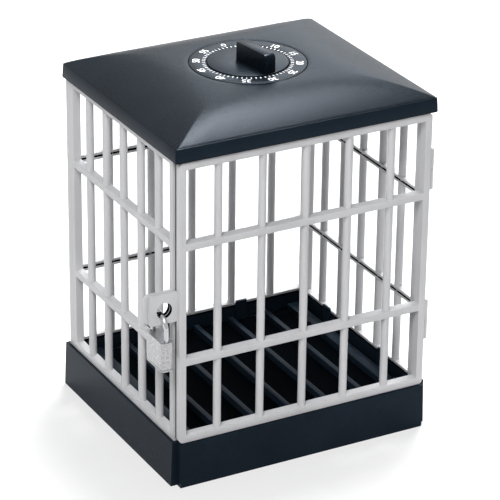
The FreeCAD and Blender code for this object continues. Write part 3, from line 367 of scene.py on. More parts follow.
def finish_named(name):
    """The finish with this name, made the first time that it is asked for."""
    found = bpy.data.materials.get(name)
    if found:
        return found
    tones = bpy.context.scene.lock_box_tones
    cage = bpy.context.scene.lock_box_cage
    lock = bpy.context.scene.lock_box_padlock
    black, steel = tones.black, tones.steel
    makers = {
        "roof_black": lambda: satin_black(name, black, gloss=0.3, grain=FINE_GRAIN, shine=0.08),
        "plinth_black": lambda: satin_black(name, tones.plinth, gloss=0.38, grain=FINE_GRAIN,
                                            shine=0.07),
        "dial_black": lambda: satin_black(name, black, gloss=0.32, grain=FINE_GRAIN, shine=0.1),
        "fin_black": lambda: satin_black(name, black, gloss=0.26, grain=FINE_GRAIN, shine=0.08,
                                         depth=0.00006),
        "case_black": lambda: satin_black(name, black, gloss=0.45, grain=COARSE_GRAIN, shine=0.15),
        # Painted shade for grooves, gaps, holes and the floor between the ribs.
        "deep_black": lambda: deep_black(name, black),
        "cage_grey": lambda: cage_grey(name, tones.cage),
        # Grey with a painted shadow along the door's seam.
        "grey_with_painted_seam_shadow": lambda: cage_grey(name, tones.cage, DOOR_HIGH.y - cage.seam_width),
        "print_white": lambda: printed_white(name, tones.marks),
        "shackle_chrome": lambda: plated(name, tones.chrome, roughness=0.07,
                                         scratch_scale=(1.0, 1.0, 4.0), depth=0.00002),
        "lock_case_chrome": lambda: lock_case_chrome(name, tones.satin_chrome, lock.seam_height,
                                                     lock.seam_width),
        "zinc_steel": lambda: plated(name, steel, roughness=0.3,
                                     scratch_scale=(1.0, 1.0, 3.0), depth=0.00004),
        "bell_steel": lambda: plated(name, steel, roughness=0.2,
                                     scratch_scale=(3.0, 3.0, 0.4), depth=0.00003),
        "spring_steel": lambda: plated(name, tones.spring, roughness=0.25,
                                       scratch_scale=(1.0, 1.0, 5.0), depth=0.00003),
        "movement_brass": lambda: turned_brass(name, tones.brass),
    }
    return makers[name]()


# ---------------------------------------------------------------- shape helpers

def merged_copy(node):
    """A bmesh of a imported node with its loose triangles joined."""
    shape = bmesh.new()
    shape.from_mesh(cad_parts[node].data)
    bmesh.ops.remove_doubles(shape, verts=shape.verts, dist=JOIN_DISTANCE)
    return shape


def turned(profile, steps=TURN_STEPS):
    """A closed shape spun about the Z axis from a loop of (radius, height) points."""
    shape = bmesh.new()
    corners = [shape.verts.new((radius, 0.0, height)) for radius, height in profile]
    edges = [shape.edges.new(pair) for pair in zip(corners, corners[1:] + corners[:1])]
    bmesh.ops.spin(shape, geom=corners + edges, cent=(0, 0, 0), axis=(0, 0, 1),
                   angle=math.tau, steps=steps, use_merge=True)
    tidy(shape)
    return shape


def tidy(shape):
    """Joins vertices that meet and turns every face outwards."""
    bmesh.ops.remove_doubles(shape, verts=shape.verts, dist=JOIN_DISTANCE)
    bmesh.ops.dissolve_degenerate(shape, edges=shape.edges, dist=NO_LENGTH)
    bmesh.ops.recalc_face_normals(shape, faces=shape.faces)


def move(shape, matrix):
    """Moves or turns a shape and gives it back."""
    bmesh.ops.transform(shape, matrix=matrix, verts=shape.verts)
    return shape


def join(shape, other):
    """Adds another bmesh's faces to a shape and frees it."""
    mesh = bpy.data.meshes.new("joined")
    other.to_mesh(mesh)
    other.free()
    shape.from_mesh(mesh)
    bpy.data.meshes.remove(mesh)
    return shape


def finished(shape, name, body, material, replaced=(), crease=32.0):
    """Turns a shape into a piece that rides on a body and has its finish."""
    mesh = bpy.data.meshes.new(name)
    shape.to_mesh(mesh)
    shape.free()
    piece = bpy.data.objects.new(name, mesh)
    bpy.context.scene.collection.objects.link(piece)
    for face in mesh.polygons:
        face.use_smooth = True
    mesh.set_sharp_from_angle(angle=math.radians(crease))
    mesh.materials.append(finish_named(material))
    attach(piece, body)
    if replaced:
        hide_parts(*replaced)
    return piece


def soft_edges(piece, width, segments=3, angle=40.0):
    """Rounds a piece's sharp edges."""
    rounding = piece.modifiers.new("Soft edges", "BEVEL")
    rounding.width = width
    rounding.segments = segments
    rounding.limit_method = "ANGLE"
    rounding.angle_limit = math.radians(angle)
    rounding.harden_normals = True
    rounding.miter_outer = "MITER_ARC"


def dress(nodes, material):
    """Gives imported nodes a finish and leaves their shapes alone."""
    for node in nodes:
        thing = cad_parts[node]
        thing.data.materials.clear()
        thing.data.materials.append(finish_named(material))


def rounded_copy(node, name, body, material, width):
    """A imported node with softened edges, in its place."""
    piece = finished(merged_copy(node), name, body, material, (node,))
    soft_edges(piece, width)
    return piece


def repaint(piece, material, wanted):
    """Gives another finish to the faces of a piece whose middle and normal pass a test."""
    mesh = piece.data
    mesh.materials.append(finish_named(material))
    slot = len(mesh.materials) - 1
    for face in mesh.polygons:
        if wanted(face.center, face.normal):
            face.material_index = slot


def shade_grooves(panel, inward, sizes, head):
    """Paints shade into the narrow grooves along a panel's inner rail faces, using the near-black
    painted-shade finish.
    """
    levels = (sizes.foot_groove, sizes.low_groove, sizes.high_groove, head)

    def in_groove(middle, normal):
        turned_in = normal.dot(inward) > ALONG or abs(normal.z) > ALONG
        return turned_in and any(abs(middle.z - level) < sizes.groove_half for level in levels)

    repaint(panel, "deep_black", in_groove)


def shade_hasp_hole(panel, sizes):
    """Paints shade on the wall of the hole for the shackle, using the near-black painted-shade
    finish.
    """
    centre = Vector((sizes.hole_across, 0, sizes.hole_height))
    limit = sizes.hole_radius + 0.3 * MM

    def in_hole(middle, normal):
        away = (middle - centre) * Vector((1, 0, 1))
        return abs(normal.y) < ACROSS and away.length < limit

    repaint(panel, "deep_black", in_hole)


# ---------------------------------------------------------------- lid

def corner_directions(half_x, half_y, corner):
    """Unit directions to points round a rounded rectangle, close together at its corners."""
    found = []
    for quarter in range(4):
        sign_x = 1 if quarter in (0, 3) else -1
        sign_y = 1 if quarter in (0, 1) else -1
        centre = Vector((sign_x * (half_x - corner), sign_y * (half_y - corner), 0))
        start = quarter * math.pi / 2
        for step in range(CORNER_STEPS + 1):
            angle = start + math.pi / 2 * step / CORNER_STEPS
            found.append(centre + Vector((math.cos(angle), math.sin(angle), 0)) * corner)
        across = Vector((centre.x, 0, 0)) if quarter % 2 == 0 else Vector((0, centre.y, 0))
        across *= -2
        for step in range(1, SIDE_STEPS):
            found.append(found[-step] + across * (step / SIDE_STEPS))
    return [point.normalized() for point in found]


def reach(direction, half_x, half_y, corner):
    """How far a rounded rectangle's edge is from its middle in one direction."""
    u, v = max(abs(direction.x), TINY), max(abs(direction.y), TINY)
    flat = min(half_x / u, half_y / v)
    centre_x, centre_y = half_x - corner, half_y - corner
    if flat * u <= centre_x or flat * v <= centre_y:
        return flat
    along = u * centre_x + v * centre_y
    return along + math.sqrt(along ** 2 - centre_x ** 2 - centre_y ** 2 + corner ** 2)


def grow_ring(shape, ring, directions, half_x, half_y, corner, height):
    """Extrudes a ring of vertices to a rounded rectangle at a height."""
    edges = [shape.edges.get(pair) for pair in zip(ring, ring[1:] + ring[:1])]
    made = bmesh.ops.extrude_edge_only(shape, edges=edges)["geom"]
    fresh = {item for item in made if isinstance(item, bmesh.types.BMVert)}
    grown = []
    for old, direction in zip(ring, directions):
        others = (edge.other_vert(old) for edge in old.link_edges)
        new = next(other for other in others if other in fresh)
        new.co = direction * reach(direction, half_x, half_y, corner)
        new.co.z = height
        grown.append(new)
    return grown


def round_ring(radius, height):
    """A ring of the lid that is a circle."""
    return radius, radius, radius, height


def lid_rings(sizes):
    """Half widths, corner radius and height of each ring of the lid, from the shaft hole round."""
    half_x, half_y = LID_HIGH.x, LID_HIGH.y
    top, low = LID_HIGH.z, LID_LOW.z
    eaves = top - sizes.roof_rise
    floor = RING_LOW.z
    ceiling = floor - sizes.roof_wall
    hole = sizes.shaft_hole
    rim = RING_HIGH.x + sizes.ring_gap
    crown = sizes.crown_half
    corner = sizes.corner
    soft = sizes.edge_round
    ease = soft * ARC_MIDDLE
    rings = [round_ring(hole, floor), round_ring(rim, floor), round_ring(rim, top - soft),
             round_ring(rim + ease, top - ease), round_ring(rim + soft, top)]
    eave_x, eave_y = half_x - sizes.skirt_flare, half_y - sizes.skirt_flare
    for step in range(ROOF_STEPS, 0, -1):
        share = (step / ROOF_STEPS) ** ROOF_SPACING
        rings.append((eave_x + (crown - eave_x) * share, eave_y + (crown - eave_y) * share,
                      corner + (crown - corner) * share ** sizes.hip_fade,
                      eaves + sizes.roof_rise * (1 - (1 - share) ** sizes.roof_bulge)))
    rings += [(eave_x - soft * inset, eave_y - soft * inset, corner, eaves + soft * lift)
              for inset, lift in EAVES_ARC]
    rings += [(half_x - soft * inset, half_y - soft * inset, corner, low + soft * lift)
              for inset, lift in FOOT_ARC]
    inner_x, inner_y = half_x - sizes.skirt_wall, half_y - sizes.skirt_wall
    seat = PANEL_HIGH.z
    rings += [(inner_x, inner_y, corner / INNER_CORNER, low),
              (inner_x, inner_y, corner / INNER_CORNER, seat),
              (inner_x - sizes.haunch, inner_y - sizes.haunch, corner, seat),
              (half_x - sizes.shoulder_inset, half_y - sizes.shoulder_inset,
               crown * SHOULDER_CORNER, ceiling - sizes.shoulder_drop),
              (crown, crown, crown * CEILING_CORNER, ceiling),
              round_ring(hole, ceiling), round_ring(hole, floor)]
    return rings


def make_boss(sizes, turn):
    """A round boss with a blind bore that hangs from the ceiling, at a turn about the shaft."""
    top = RING_LOW.z - sizes.roof_wall + BOSS_SINK
    bore_top = RING_LOW.z - sizes.roof_wall - BORE_COVER
    boss = turned([(sizes.boss_bore, sizes.boss_low), (sizes.boss_radius, sizes.boss_low),
                   (sizes.boss_radius, top), (0.0, top), (0.0, bore_top),
                   (sizes.boss_bore, bore_top)], BOSS_STEPS)
    angle = math.radians(turn)
    return move(boss, Matrix.Translation((sizes.boss_offset * math.cos(angle),
                                          sizes.boss_offset * math.sin(angle), 0)))


def make_lid(sizes):
    """The lid: dial recess, convex roof with hips that fade, skirt and hollow underside."""
    directions = corner_directions(LID_HIGH.x, LID_HIGH.y, sizes.corner)
    shape = bmesh.new()
    rings = lid_rings(sizes)
    ring = bmesh.ops.create_circle(shape, segments=len(directions), radius=1.0)["verts"]
    hole, _, _, floor = rings[0]
    for vert, direction in zip(ring, directions):
        vert.co = direction * hole
        vert.co.z = floor
    for half_x, half_y, corner, height in rings[1:]:
        ring = grow_ring(shape, ring, directions, half_x, half_y, corner, height)
    tidy(shape)
    for turn in BOSS_TURNS:
        join(shape, make_boss(sizes, turn))
    piece = finished(shape, "lid_roof", "housing", "roof_black",
                     replaced=("lid_shell",), crease=30.0)
    eaves = LID_HIGH.z - sizes.roof_rise
    gap_end = RING_HIGH.x + sizes.ring_gap + 0.05 * MM

    def on_skirt(middle, normal):
        return abs(normal.z) < SQUARE and middle.z < eaves

    def in_dial_gap(middle, normal):
        inside = math.hypot(middle.x, middle.y) < gap_end and middle.z > RING_LOW.z
        return inside and abs(normal.z) < ALONG

    repaint(piece, "plinth_black", on_skirt)
    # Painted shade: the walls of the gap round the dial ring are made near black.
    repaint(piece, "deep_black", in_dial_gap)
    return piece


# ---------------------------------------------------------------- dial and knob

def soft_profile(inner, outer, low, high, soft):
    """A rectangle of (radius, height) points with its outer and upper corners eased."""
    ease = soft * ARC_MIDDLE
    return [(inner, low), (outer - soft, low), (outer - ease, low + ease), (outer, low + soft),
            (outer, high - soft), (outer - ease, high - ease), (outer - soft, high),
            (inner + soft, high), (inner + ease, high - ease), (inner, high - soft)]


def make_dial_ring(sizes):
    """The flat ring that carries the minute scale."""
    inner = KNOB_HIGH.x + sizes.knob_gap
    shape = turned(soft_profile(inner, RING_HIGH.x, RING_LOW.z, RING_HIGH.z, sizes.edge_round))
    return finished(shape, "minute_ring", "housing", "dial_black", ("dial_ring",))


def make_ticks(sizes):
    """Sixty short minute marks."""
    shape = bmesh.new()
    span = sizes.tick_outer - sizes.tick_inner
    middle = (sizes.tick_outer + sizes.tick_inner) / 2
    size = Matrix.Diagonal((sizes.tick_width, span, sizes.ink_thick, 1.0))
    for minute in range(MINUTES):
        turn = Matrix.Rotation(-math.tau * minute / MINUTES, 4, "Z")
        place = Matrix.Translation((0, middle, RING_HIGH.z))
        bmesh.ops.create_cube(shape, size=1.0, matrix=turn @ place @ size)
    return finished(shape, "minute_marks", "housing", "print_white")


def make_numbers(sizes):
    """The numbers of the minute scale, with their tops outwards."""
    shape = bmesh.new()
    for minute in range(0, MINUTES, MINUTES_PER_NUMBER):
        digits = bpy.data.curves.new("number", "FONT")
        digits.body = str(minute)
        digits.size = sizes.number_size
        digits.align_x = "CENTER"
        digits.align_y = "CENTER"
        digits.extrude = sizes.ink_thick / 2
        digits.offset = sizes.number_weight
        digits.space_character = sizes.number_spacing
        digits.resolution_u = DIGIT_STEPS
        holder = bpy.data.objects.new("number", digits)
        bpy.context.scene.collection.objects.link(holder)
        bpy.context.view_layer.update()
        mesh = bpy.data.meshes.new_from_object(holder)
        bpy.data.objects.remove(holder)
        bpy.data.curves.remove(digits)
        turn = Matrix.Rotation(-math.tau * minute / MINUTES, 4, "Z")
        mesh.transform(turn @ Matrix.Translation((0, sizes.number_radius, RING_HIGH.z)))
        shape.from_mesh(mesh)
        bpy.data.meshes.remove(mesh)
    bmesh.ops.remove_doubles(shape, verts=shape.verts, dist=JOIN_DISTANCE)
    return finished(shape, "minute_numbers", "housing", "print_white")


def make_knob(sizes):
    """The knob: a disc with an eased edge and a tall fin with a rounded nose."""
    top = KNOB_LOW.z + sizes.disc_thick
    disc = turned(soft_profile(0.0, KNOB_HIGH.x, KNOB_LOW.z, top, sizes.edge_round))
    fin = bmesh.new()
    bmesh.ops.create_cube(fin, size=1.0)
    for vert in fin.verts:
        rear = vert.co.y > 0
        half = sizes.fin_rear_half if rear else sizes.fin_nose_half
        high = vert.co.z > 0
        vert.co.x = math.copysign(half - (sizes.fin_draft if high else 0.0), vert.co.x)
        vert.co.y = sizes.fin_rear if rear else -sizes.fin_nose
        vert.co.z = KNOB_HIGH.z if high else top - sizes.edge_round

    def on_nose(at):
        return at.y < -sizes.fin_nose + sizes.fin_nose_round * NOSE_BACK

    def high_up(at):
        return at.z > KNOB_HIGH.z - sizes.fin_nose_round * NOSE_DOWN

    def soften(edges, size, steps):
        bmesh.ops.bevel(fin, geom=edges, offset=size, offset_type="OFFSET", segments=steps,
                        profile=0.5, affect="EDGES", material=-1)

    soften([edge for edge in fin.edges
            if all(on_nose(vert.co) and high_up(vert.co) for vert in edge.verts)],
           sizes.fin_nose_round, NOSE_STEPS)
    soften([edge for edge in fin.edges if edge.calc_face_angle() > SHARP_EDGE
            and any(vert.co.z > top for vert in edge.verts)], sizes.fin_round, FIN_STEPS)
    tidy(fin)
    turn = Matrix.Rotation(KNOB_TURN, 4, "Z")
    finished(move(disc, turn), "knob_disc", "knob", "dial_black",
             replaced=("timer_knob",))
    return finished(move(fin, turn), "knob_fin", "knob", "fin_black",
                    replaced=("timer_knob",))


# ---------------------------------------------------------------- sizes and colours

def length(name, text, value):
    """A length property in metres, given in millimetres."""
    return bpy.props.FloatProperty(name=name, description=text, default=value * MM, precision=5,
                                   subtype="DISTANCE", unit="LENGTH")


def tone(name, text, value):
    """A colour property."""
    return bpy.props.FloatVectorProperty(name=name, description=text, default=value, size=3,
                                         min=0.0, max=1.0, subtype="COLOR")


def angle_of(name, text, degrees):
    """An angle property, given in degrees."""
    return bpy.props.FloatProperty(name=name, description=text, default=math.radians(degrees),
                                   subtype="ANGLE", unit="ROTATION")


def lamp_power(name, text, watts):
    """The power of a lamp."""
    return bpy.props.FloatProperty(name=name, description=text, default=watts, min=0.0,
                                   subtype="POWER", unit="POWER")


class Tones(bpy.types.PropertyGroup):
    """Colours of the object's finishes."""

    black: tone("Black plastic", "Colour of the roof, the dial and the knob",
                (0.0018, 0.0038, 0.0062))
    plinth: tone("Duller black", "Colour of the plinth and the lid's skirt", (0.007, 0.0127, 0.02))
    cage: tone("Grey plastic", "Colour of the barred panels", (0.57, 0.57, 0.583))
    marks: tone("Ink", "Colour of the minute scale", (0.72, 0.73, 0.75))
    chrome: tone("Chrome", "Colour of the shackle", (0.42, 0.42, 0.44))
    satin_chrome: tone("Satin chrome", "Colour of the padlock's case", (0.42, 0.42, 0.43))
    steel: tone("Zinc steel", "Colour of screws, pins and arbors", (0.58, 0.59, 0.6))
    spring: tone("Spring steel", "Colour of the mainspring", (0.28, 0.3, 0.34))
    brass: tone("Brass", "Colour of the movement's plates and wheels", (0.72, 0.52, 0.22))


class EdgeSizes(bpy.types.PropertyGroup):
    """Edge rounding of the moulded and pressed pieces."""

    plinth: length("Plinth edges", "Rounding of the plinth's edges", 0.45)
    cage: length("Cage edges", "Rounding of the panels' and the door's edges", 0.35)
    lock: length("Padlock edges", "Rounding of the padlock case's edges", 0.5)


class LidSizes(bpy.types.PropertyGroup):
    """Shape of the lid."""

    roof_rise: length("Roof rise", "Height of the roof above the skirt", 11.0)
    roof_wall: length("Roof wall", "Thickness of the roof below the dial", 2.0)
    crown_half: length("Crown", "Half width of the flat about the dial", 35.5)
    skirt_flare: length("Skirt flare", "How much wider the skirt is at its foot", 0.4)
    skirt_wall: length("Skirt wall", "Thickness of the skirt", 1.6)
    corner: length("Corner radius", "Radius of the skirt's corners", 1.4)
    edge_round: length("Edge rounding", "Rounding of the eaves and the skirt's foot", 0.5)
    haunch: length("Haunch", "Width of the ledge that lies on the panels", 5.4)
    shoulder_inset: length("Shoulder inset", "Inset of the hollow's shoulder", 19.0)
    shoulder_drop: length("Shoulder drop", "Drop of the hollow's shoulder below the ceiling", 2.6)
    shaft_hole: length("Shaft hole", "Radius of the hole for the shaft", 3.6)
    ring_gap: length("Ring gap", "Gap round the dial ring", 0.3)
    boss_radius: length("Boss radius", "Radius of the bosses for the timer's screws", 3.3)
    boss_bore: length("Boss bore", "Radius of the screw holes in the bosses", 1.55)
    boss_offset: length("Boss offset", "Distance of the bosses from the shaft", 33.5)
    boss_low: length("Boss foot", "Height of the bosses' lower ends", 196.0)
    roof_bulge: bpy.props.FloatProperty(name="Roof bulge", description="How strongly the roof is "
                                        "curved", default=1.75, min=1.0, max=4.0)
    hip_fade: bpy.props.FloatProperty(name="Hip fade", description="How late the hips round off "
                                      "towards the dial", default=3.4, min=0.2, max=4.0)


class DialSizes(bpy.types.PropertyGroup):
    """Minute scale and ring."""

    knob_gap: length("Knob gap", "Gap round the knob", 0.5)
    edge_round: length("Edge rounding", "Rounding of the ring's edges", 0.15)
    tick_inner: length("Mark start", "Radius where the marks begin", 23.5)
    tick_outer: length("Mark end", "Radius where the marks end", 25.3)
    tick_width: length("Mark width", "Width of a minute mark", 0.45)
    ink_thick: length("Ink thickness", "Thickness of the printed scale", 0.06)
    number_size: length("Number size", "Size of the numbers' type", 5.8)
    number_radius: length("Number radius", "Distance of the numbers from the shaft", 28.2)
    number_weight: length("Number weight", "How much the strokes are thickened", 0.0)
    number_spacing: bpy.props.FloatProperty(name="Number spacing", description="Space between "
                                            "digits", default=0.95, min=0.5, max=2.0)


class KnobSizes(bpy.types.PropertyGroup):
    """Disc and fin of the knob."""

    disc_thick: length("Disc thickness", "Thickness of the disc", 2.2)
    edge_round: length("Edge rounding", "Rounding of the disc's edge", 0.25)
    fin_rear: length("Fin rear", "How far the fin reaches behind the shaft", 5.9)
    fin_nose: length("Fin nose", "How far the fin reaches in front of the shaft", 21.1)
    fin_rear_half: length("Rear half width", "Half of the fin's width at its rear", 3.85)
    fin_nose_half: length("Nose half width", "Half of the fin's width at its nose", 3.4)
    fin_draft: length("Fin draft", "How much each side leans in at the top", 0.25)
    fin_nose_round: length("Nose rounding", "Rounding of the nose's top edge", 2.6)
    fin_round: length("Fin rounding", "Rounding of the fin's other edges", 0.22)


class CageSizes(bpy.types.PropertyGroup):
    """Levels in the cage that take another finish."""

    floor_height: length("Floor height", "Height of the floor between the ribs", 20.0)
    barrel_reach: length("Barrel reach", "How far the hinge barrels stand out from the door", 3.3)
    foot_groove: length("Foot groove", "Height of the groove in the lowest rails", 29.1)
    low_groove: length("Low groove", "Height of the groove in the lower middle rails", 75.65)
    high_groove: length("High groove", "Height of the groove in the upper middle rails", 143.65)
    head_groove: length("Head groove", "Height of the groove in the panels' top rails", 190.5)
    door_head_groove: length("Door head groove", "Height of the groove in the door's top rail",
                             189.2)
    groove_half: length("Groove half", "Half of a groove's height, with its edges", 0.62)
    # The door's dark seam is a painted shadow for the gap between the door and the left panel.
    seam_width: length("Seam width", "Width of the dark seam along the door's left edge", 1.7)
    hole_across: length("Hole across", "Place of the shackle's hole to the left", -84.8)
    hole_height: length("Hole height", "Height of the shackle's hole above the ground", 108.2)
    hole_radius: length("Hole radius", "Radius of the shackle's hole", 4.6)


class PadlockSizes(bpy.types.PropertyGroup):
    """Seam of the padlock's case."""

    seam_height: length("Seam height", "Height of the seam above the ground", 76.6)
    seam_width: length("Seam width", "Width of the seam", 0.3)


class StageSettings(bpy.types.PropertyGroup):
    """Camera, floor and lights."""

    azimuth: angle_of("Azimuth", "Camera's turn about the object", 28.82)
    elevation: angle_of("Elevation", "Camera's height angle", 25.139)
    roll: angle_of("Roll", "Camera's roll", 0.704)
    distance: length("Distance", "Camera's distance from the object", 1561.8)
    aim_height: length("Aim height", "Height of the point the camera circles", 90.0)
    slide_right: length("Slide right", "Camera's slide to its right", 2.49)
    slide_up: length("Slide up", "Camera's slide upwards", 7.527)
    lens: bpy.props.FloatProperty(name="Lens", description="Focal length in millimetres",
                                  default=198.88, subtype="DISTANCE_CAMERA")
    floor: tone("Floor", "Colour of the floor", (0.52, 0.52, 0.52))
    floor_glow: bpy.props.FloatProperty(name="Floor glow", description="Light that the floor adds "
                                        "towards the camera", default=0.42, min=0.0, max=1.0)
    sky: bpy.props.FloatProperty(name="Sky light", default=0.22, min=0.0, max=2.0,
                                 description="Strength of the light from all round")
    top: lamp_power("Overhead light", "Power of the soft light above", 13.0)
    front: lamp_power("Front light", "Power of the soft light in front", 35.0)
    rear: lamp_power("Rear light", "Power of the soft light behind", 3.6)


# ---------------------------------------------------------------- operators

class LOCKBOX_OT_plinth(bpy.types.Operator):
    """Dress the plinth, its closing plate and its screws"""

    bl_idname = "lockbox.plinth"
    bl_label = "Plinth"

    def execute(self, context):
        width = context.scene.lock_box_edges.plinth
        floor = context.scene.lock_box_cage.floor_height
        plinth = rounded_copy("base_tray", "plinth", "housing", "plinth_black",
                              width)

        def between_ribs(middle, normal):
            inside = abs(middle.x) < PANEL_HIGH.x and middle.y < PANEL_LOW.y
            return normal.z > FLAT and inside and abs(middle.z - floor) < 0.1 * MM

        # Painted shade: the floor between the ribs is made near black and dull.
        repaint(plinth, "deep_black", between_ribs)
        rounded_copy("base_cover", "plinth_plate", "housing", "plinth_black",
                     width / 2)
        dress(["base_screws"], "zinc_steel")
        return {"FINISHED"}


class LOCKBOX_OT_cage(bpy.types.Operator):
    """Dress the left, right and rear panels and the hinge pins"""

    bl_idname = "lockbox.cage"
    bl_label = "Cage"

    def execute(self, context):
        width = context.scene.lock_box_edges.cage
        sizes = context.scene.lock_box_cage
        rail_top = sizes.foot_groove - sizes.groove_half
        for side, way in (("left", (1, 0, 0)), ("right", (-1, 0, 0)), ("rear", (0, -1, 0))):
            inward = Vector(way)

            def on_inner_foot(middle, normal):
                return normal.dot(inward) > ALONG and middle.z < rail_top

            panel = rounded_copy(f"{side}_panel", f"{side}_bars", "housing",
                                 "cage_grey", width)
            shade_grooves(panel, inward, sizes, sizes.head_groove)
            repaint(panel, "plinth_black", on_inner_foot)
            if side == "left":
                shade_hasp_hole(panel, sizes)
        dress(["hinge_pins"], "zinc_steel")
        return {"FINISHED"}


class LOCKBOX_OT_door(bpy.types.Operator):
    """Dress the door with its hasp plate and hinge barrels"""

    bl_idname = "lockbox.door"
    bl_label = "Door"

    def execute(self, context):
        width = context.scene.lock_box_edges.cage
        door = rounded_copy("door_panel", "door_bars", "door", "cage_grey", width)
        sizes = context.scene.lock_box_cage
        shade_grooves(door, Vector((0, 1, 0)), sizes, sizes.door_head_groove)
        shade_hasp_hole(door, sizes)
        edge = -DOOR_HIGH.x + sizes.barrel_reach

        def on_left_edge(middle, normal):
            return normal.x < -ALONG and abs(middle.x - edge) < MM

        # Paints a shadow on the rear strip of the door's left edge face, where the gap to the left
        # panel is in shade.
        repaint(door, "grey_with_painted_seam_shadow", on_left_edge)
        return {"FINISHED"}


class LOCKBOX_OT_lid(bpy.types.Operator):
    """Build the lid's roof and skirt"""

    bl_idname = "lockbox.lid"
    bl_label = "Lid"

    def execute(self, context):
        make_lid(context.scene.lock_box_lid)
        return {"FINISHED"}


class LOCKBOX_OT_dial(bpy.types.Operator):
    """Build the minute ring, its marks and its numbers"""

    bl_idname = "lockbox.dial"
    bl_label = "Dial"

    def execute(self, context):
        sizes = context.scene.lock_box_dial
        make_dial_ring(sizes)
        make_ticks(sizes)
        make_numbers(sizes)
        return {"FINISHED"}


class LOCKBOX_OT_knob(bpy.types.Operator):
    """Build the knob's disc and fin"""

    bl_idname = "lockbox.knob"
    bl_label = "Knob"

    def execute(self, context):
        make_knob(context.scene.lock_box_knob)
        return {"FINISHED"}


class LOCKBOX_OT_padlock(bpy.types.Operator):
    """Dress the padlock's case, shackle and inner pieces"""

    bl_idname = "lockbox.padlock"
    bl_label = "Padlock"

    def execute(self, context):
        width = context.scene.lock_box_edges.lock
        rounded_copy("padlock_body", "lock_case", "padlock", "lock_case_chrome",
                     width)
        dress(["padlock_shackle"], "shackle_chrome")
        dress(["lock_plug"], "movement_brass")
        dress(["lock_bolt", "shackle_spring"], "zinc_steel")
        return {"FINISHED"}


class LOCKBOX_OT_movement(bpy.types.Operator):
    """Dress the timer's case and the pieces of its movement"""

    bl_idname = "lockbox.movement"
    bl_label = "Movement"

    def execute(self, context):
        dress(["timer_case"], "case_black")
        dress(["top_plate", "bottom_plate", "spring_barrel", "main_wheel", "second_wheel",
               "escape_wheel"], "movement_brass")
        dress(["timer_shaft", "plate_pillars", "second_arbor", "escape_arbor", "pallet_lever",
               "case_screws", "bell_hammer"], "zinc_steel")
        dress(["mainspring"], "spring_steel")
        dress(["bell"], "bell_steel")
        return {"FINISHED"}


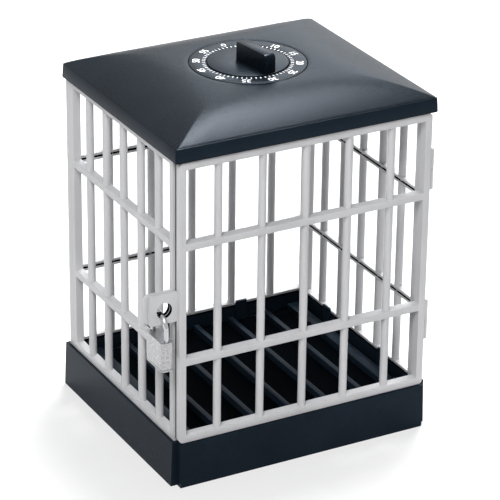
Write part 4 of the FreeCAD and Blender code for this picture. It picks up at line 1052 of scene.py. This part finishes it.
class LOCKBOX_OT_stage(bpy.types.Operator):
    """Set the camera, the floor, the backdrop and the lights"""

    bl_idname = "lockbox.stage"
    bl_label = "Stage"

    def execute(self, context):
        settings = context.scene.lock_box_stage
        self.set_camera(context, settings)
        self.set_floor(context, settings)
        self.set_sky(context, settings)
        self.set_lamp(context, "overhead_light", spot=(0.18, 0.175, 0.83), size=0.32,
                      watts=settings.top, tint=NEUTRAL)
        self.set_lamp(context, "front_light", spot=(-0.9, -1.05, 1.7), size=0.9,
                      watts=settings.front, tint=NEUTRAL)
        self.set_lamp(context, "rear_light", spot=(0.8, 1.0, 0.76), size=0.8,
                      watts=settings.rear, tint=COLD)
        context.scene.view_settings.view_transform = "Standard"
        return {"FINISHED"}

    @staticmethod
    def set_camera(context, settings):
        """Puts the camera on its circle about the object, slid and rolled."""
        azimuth, elevation, roll = settings.azimuth, settings.elevation, settings.roll
        back = Vector((-math.sin(azimuth) * math.cos(elevation),
                       -math.cos(azimuth) * math.cos(elevation), math.sin(elevation)))
        across = Vector((0, 0, 1)).cross(back).normalized()
        upward = back.cross(across)
        right = across * math.cos(roll) + upward * math.sin(roll)
        above = upward * math.cos(roll) - across * math.sin(roll)
        camera = bpy.data.objects.new("camera", bpy.data.cameras.new("camera"))
        camera.data.sensor_width = SENSOR_WIDTH
        camera.data.lens = settings.lens
        camera.data.clip_start = NEAR_LIMIT
        camera.data.clip_end = FAR_LIMIT
        spot = (Vector((0, 0, settings.aim_height)) + back * settings.distance
                + right * settings.slide_right + above * settings.slide_up)
        turn = Matrix((right, above, back)).transposed()
        camera.matrix_world = Matrix.Translation(spot) @ turn.to_4x4()
        context.scene.collection.objects.link(camera)
        context.scene.camera = camera

    @staticmethod
    def set_floor(context, settings):
        """Lays the floor, which is stage and not part of the object."""
        shape = bmesh.new()
        bmesh.ops.create_circle(shape, cap_ends=True, segments=FLOOR_STEPS, radius=FLOOR_RADIUS)
        mesh = bpy.data.meshes.new("floor")
        shape.to_mesh(mesh)
        shape.free()
        mesh.materials.append(pale_floor("pale_floor", settings.floor, settings.floor_glow))
        floor = bpy.data.objects.new("floor", mesh)
        context.scene.collection.objects.link(floor)

    @staticmethod
    def set_sky(context, settings):
        """Sets a dim even sky that is white where it is seen."""
        world = bpy.data.worlds.new("studio")
        nodes = Nodes(world)
        plain = nodes.node("ShaderNodeBackground", {}, {"Color": WHITE, "Strength": settings.sky})
        white = nodes.node("ShaderNodeBackground", {}, {"Color": WHITE, "Strength": 1.0})
        shader = nodes.node("ShaderNodeMixShader", {}, {0: nodes.seen(), 1: plain, 2: white})
        nodes.node("ShaderNodeOutputWorld", {}, {"Surface": shader})
        context.scene.world = world

    @staticmethod
    def set_lamp(context, name, spot, size, watts, tint):
        """Hangs a round soft lamp that shines at the middle of the object."""
        lamp = bpy.data.lights.new(name, "AREA")
        lamp.shape = "DISK"
        lamp.size = size
        lamp.energy = watts
        lamp.color = tint
        holder = bpy.data.objects.new(name, lamp)
        holder.location = spot
        holder.rotation_mode = "QUATERNION"
        holder.rotation_quaternion = (Vector(LAMP_AIM) - Vector(spot)).to_track_quat("-Z", "Y")
        context.scene.collection.objects.link(holder)


class LOCKBOX_PT_panel(bpy.types.Panel):
    """Lists the pieces of the lock box with their sizes and colours"""

    bl_label = "Lock box"
    bl_space_type = "VIEW_3D"
    bl_region_type = "UI"
    bl_category = "Lock box"

    def draw(self, context):
        for operator in OPERATORS:
            self.layout.operator(operator.bl_idname)
        for name, group in GROUPS.items():
            column = self.layout.column(heading=group.__name__)
            holder = getattr(context.scene, name)
            for key in group.__annotations__:
                column.prop(holder, key)


OPERATORS = (LOCKBOX_OT_stage, LOCKBOX_OT_plinth, LOCKBOX_OT_cage, LOCKBOX_OT_door, LOCKBOX_OT_lid,
             LOCKBOX_OT_dial, LOCKBOX_OT_knob, LOCKBOX_OT_padlock, LOCKBOX_OT_movement)
GROUPS = {
    "lock_box_tones": Tones,
    "lock_box_edges": EdgeSizes,
    "lock_box_lid": LidSizes,
    "lock_box_dial": DialSizes,
    "lock_box_knob": KnobSizes,
    "lock_box_cage": CageSizes,
    "lock_box_padlock": PadlockSizes,
    "lock_box_stage": StageSettings,
}
CLASSES = (*GROUPS.values(), *OPERATORS, LOCKBOX_PT_panel)


def register():
    for item in CLASSES:
        bpy.utils.register_class(item)
    for name, group in GROUPS.items():
        setattr(bpy.types.Scene, name, bpy.props.PointerProperty(type=group))


def unregister():
    for name in GROUPS:
        delattr(bpy.types.Scene, name)
    for item in reversed(CLASSES):
        bpy.utils.unregister_class(item)


def main():
    register()
    bpy.ops.lockbox.stage()
    bpy.ops.lockbox.plinth()
    bpy.ops.lockbox.cage()
    bpy.ops.lockbox.door()
    bpy.ops.lockbox.lid()
    bpy.ops.lockbox.dial()
    bpy.ops.lockbox.knob()
    bpy.ops.lockbox.padlock()
    bpy.ops.lockbox.movement()


if __name__ == "__main__":
    main()
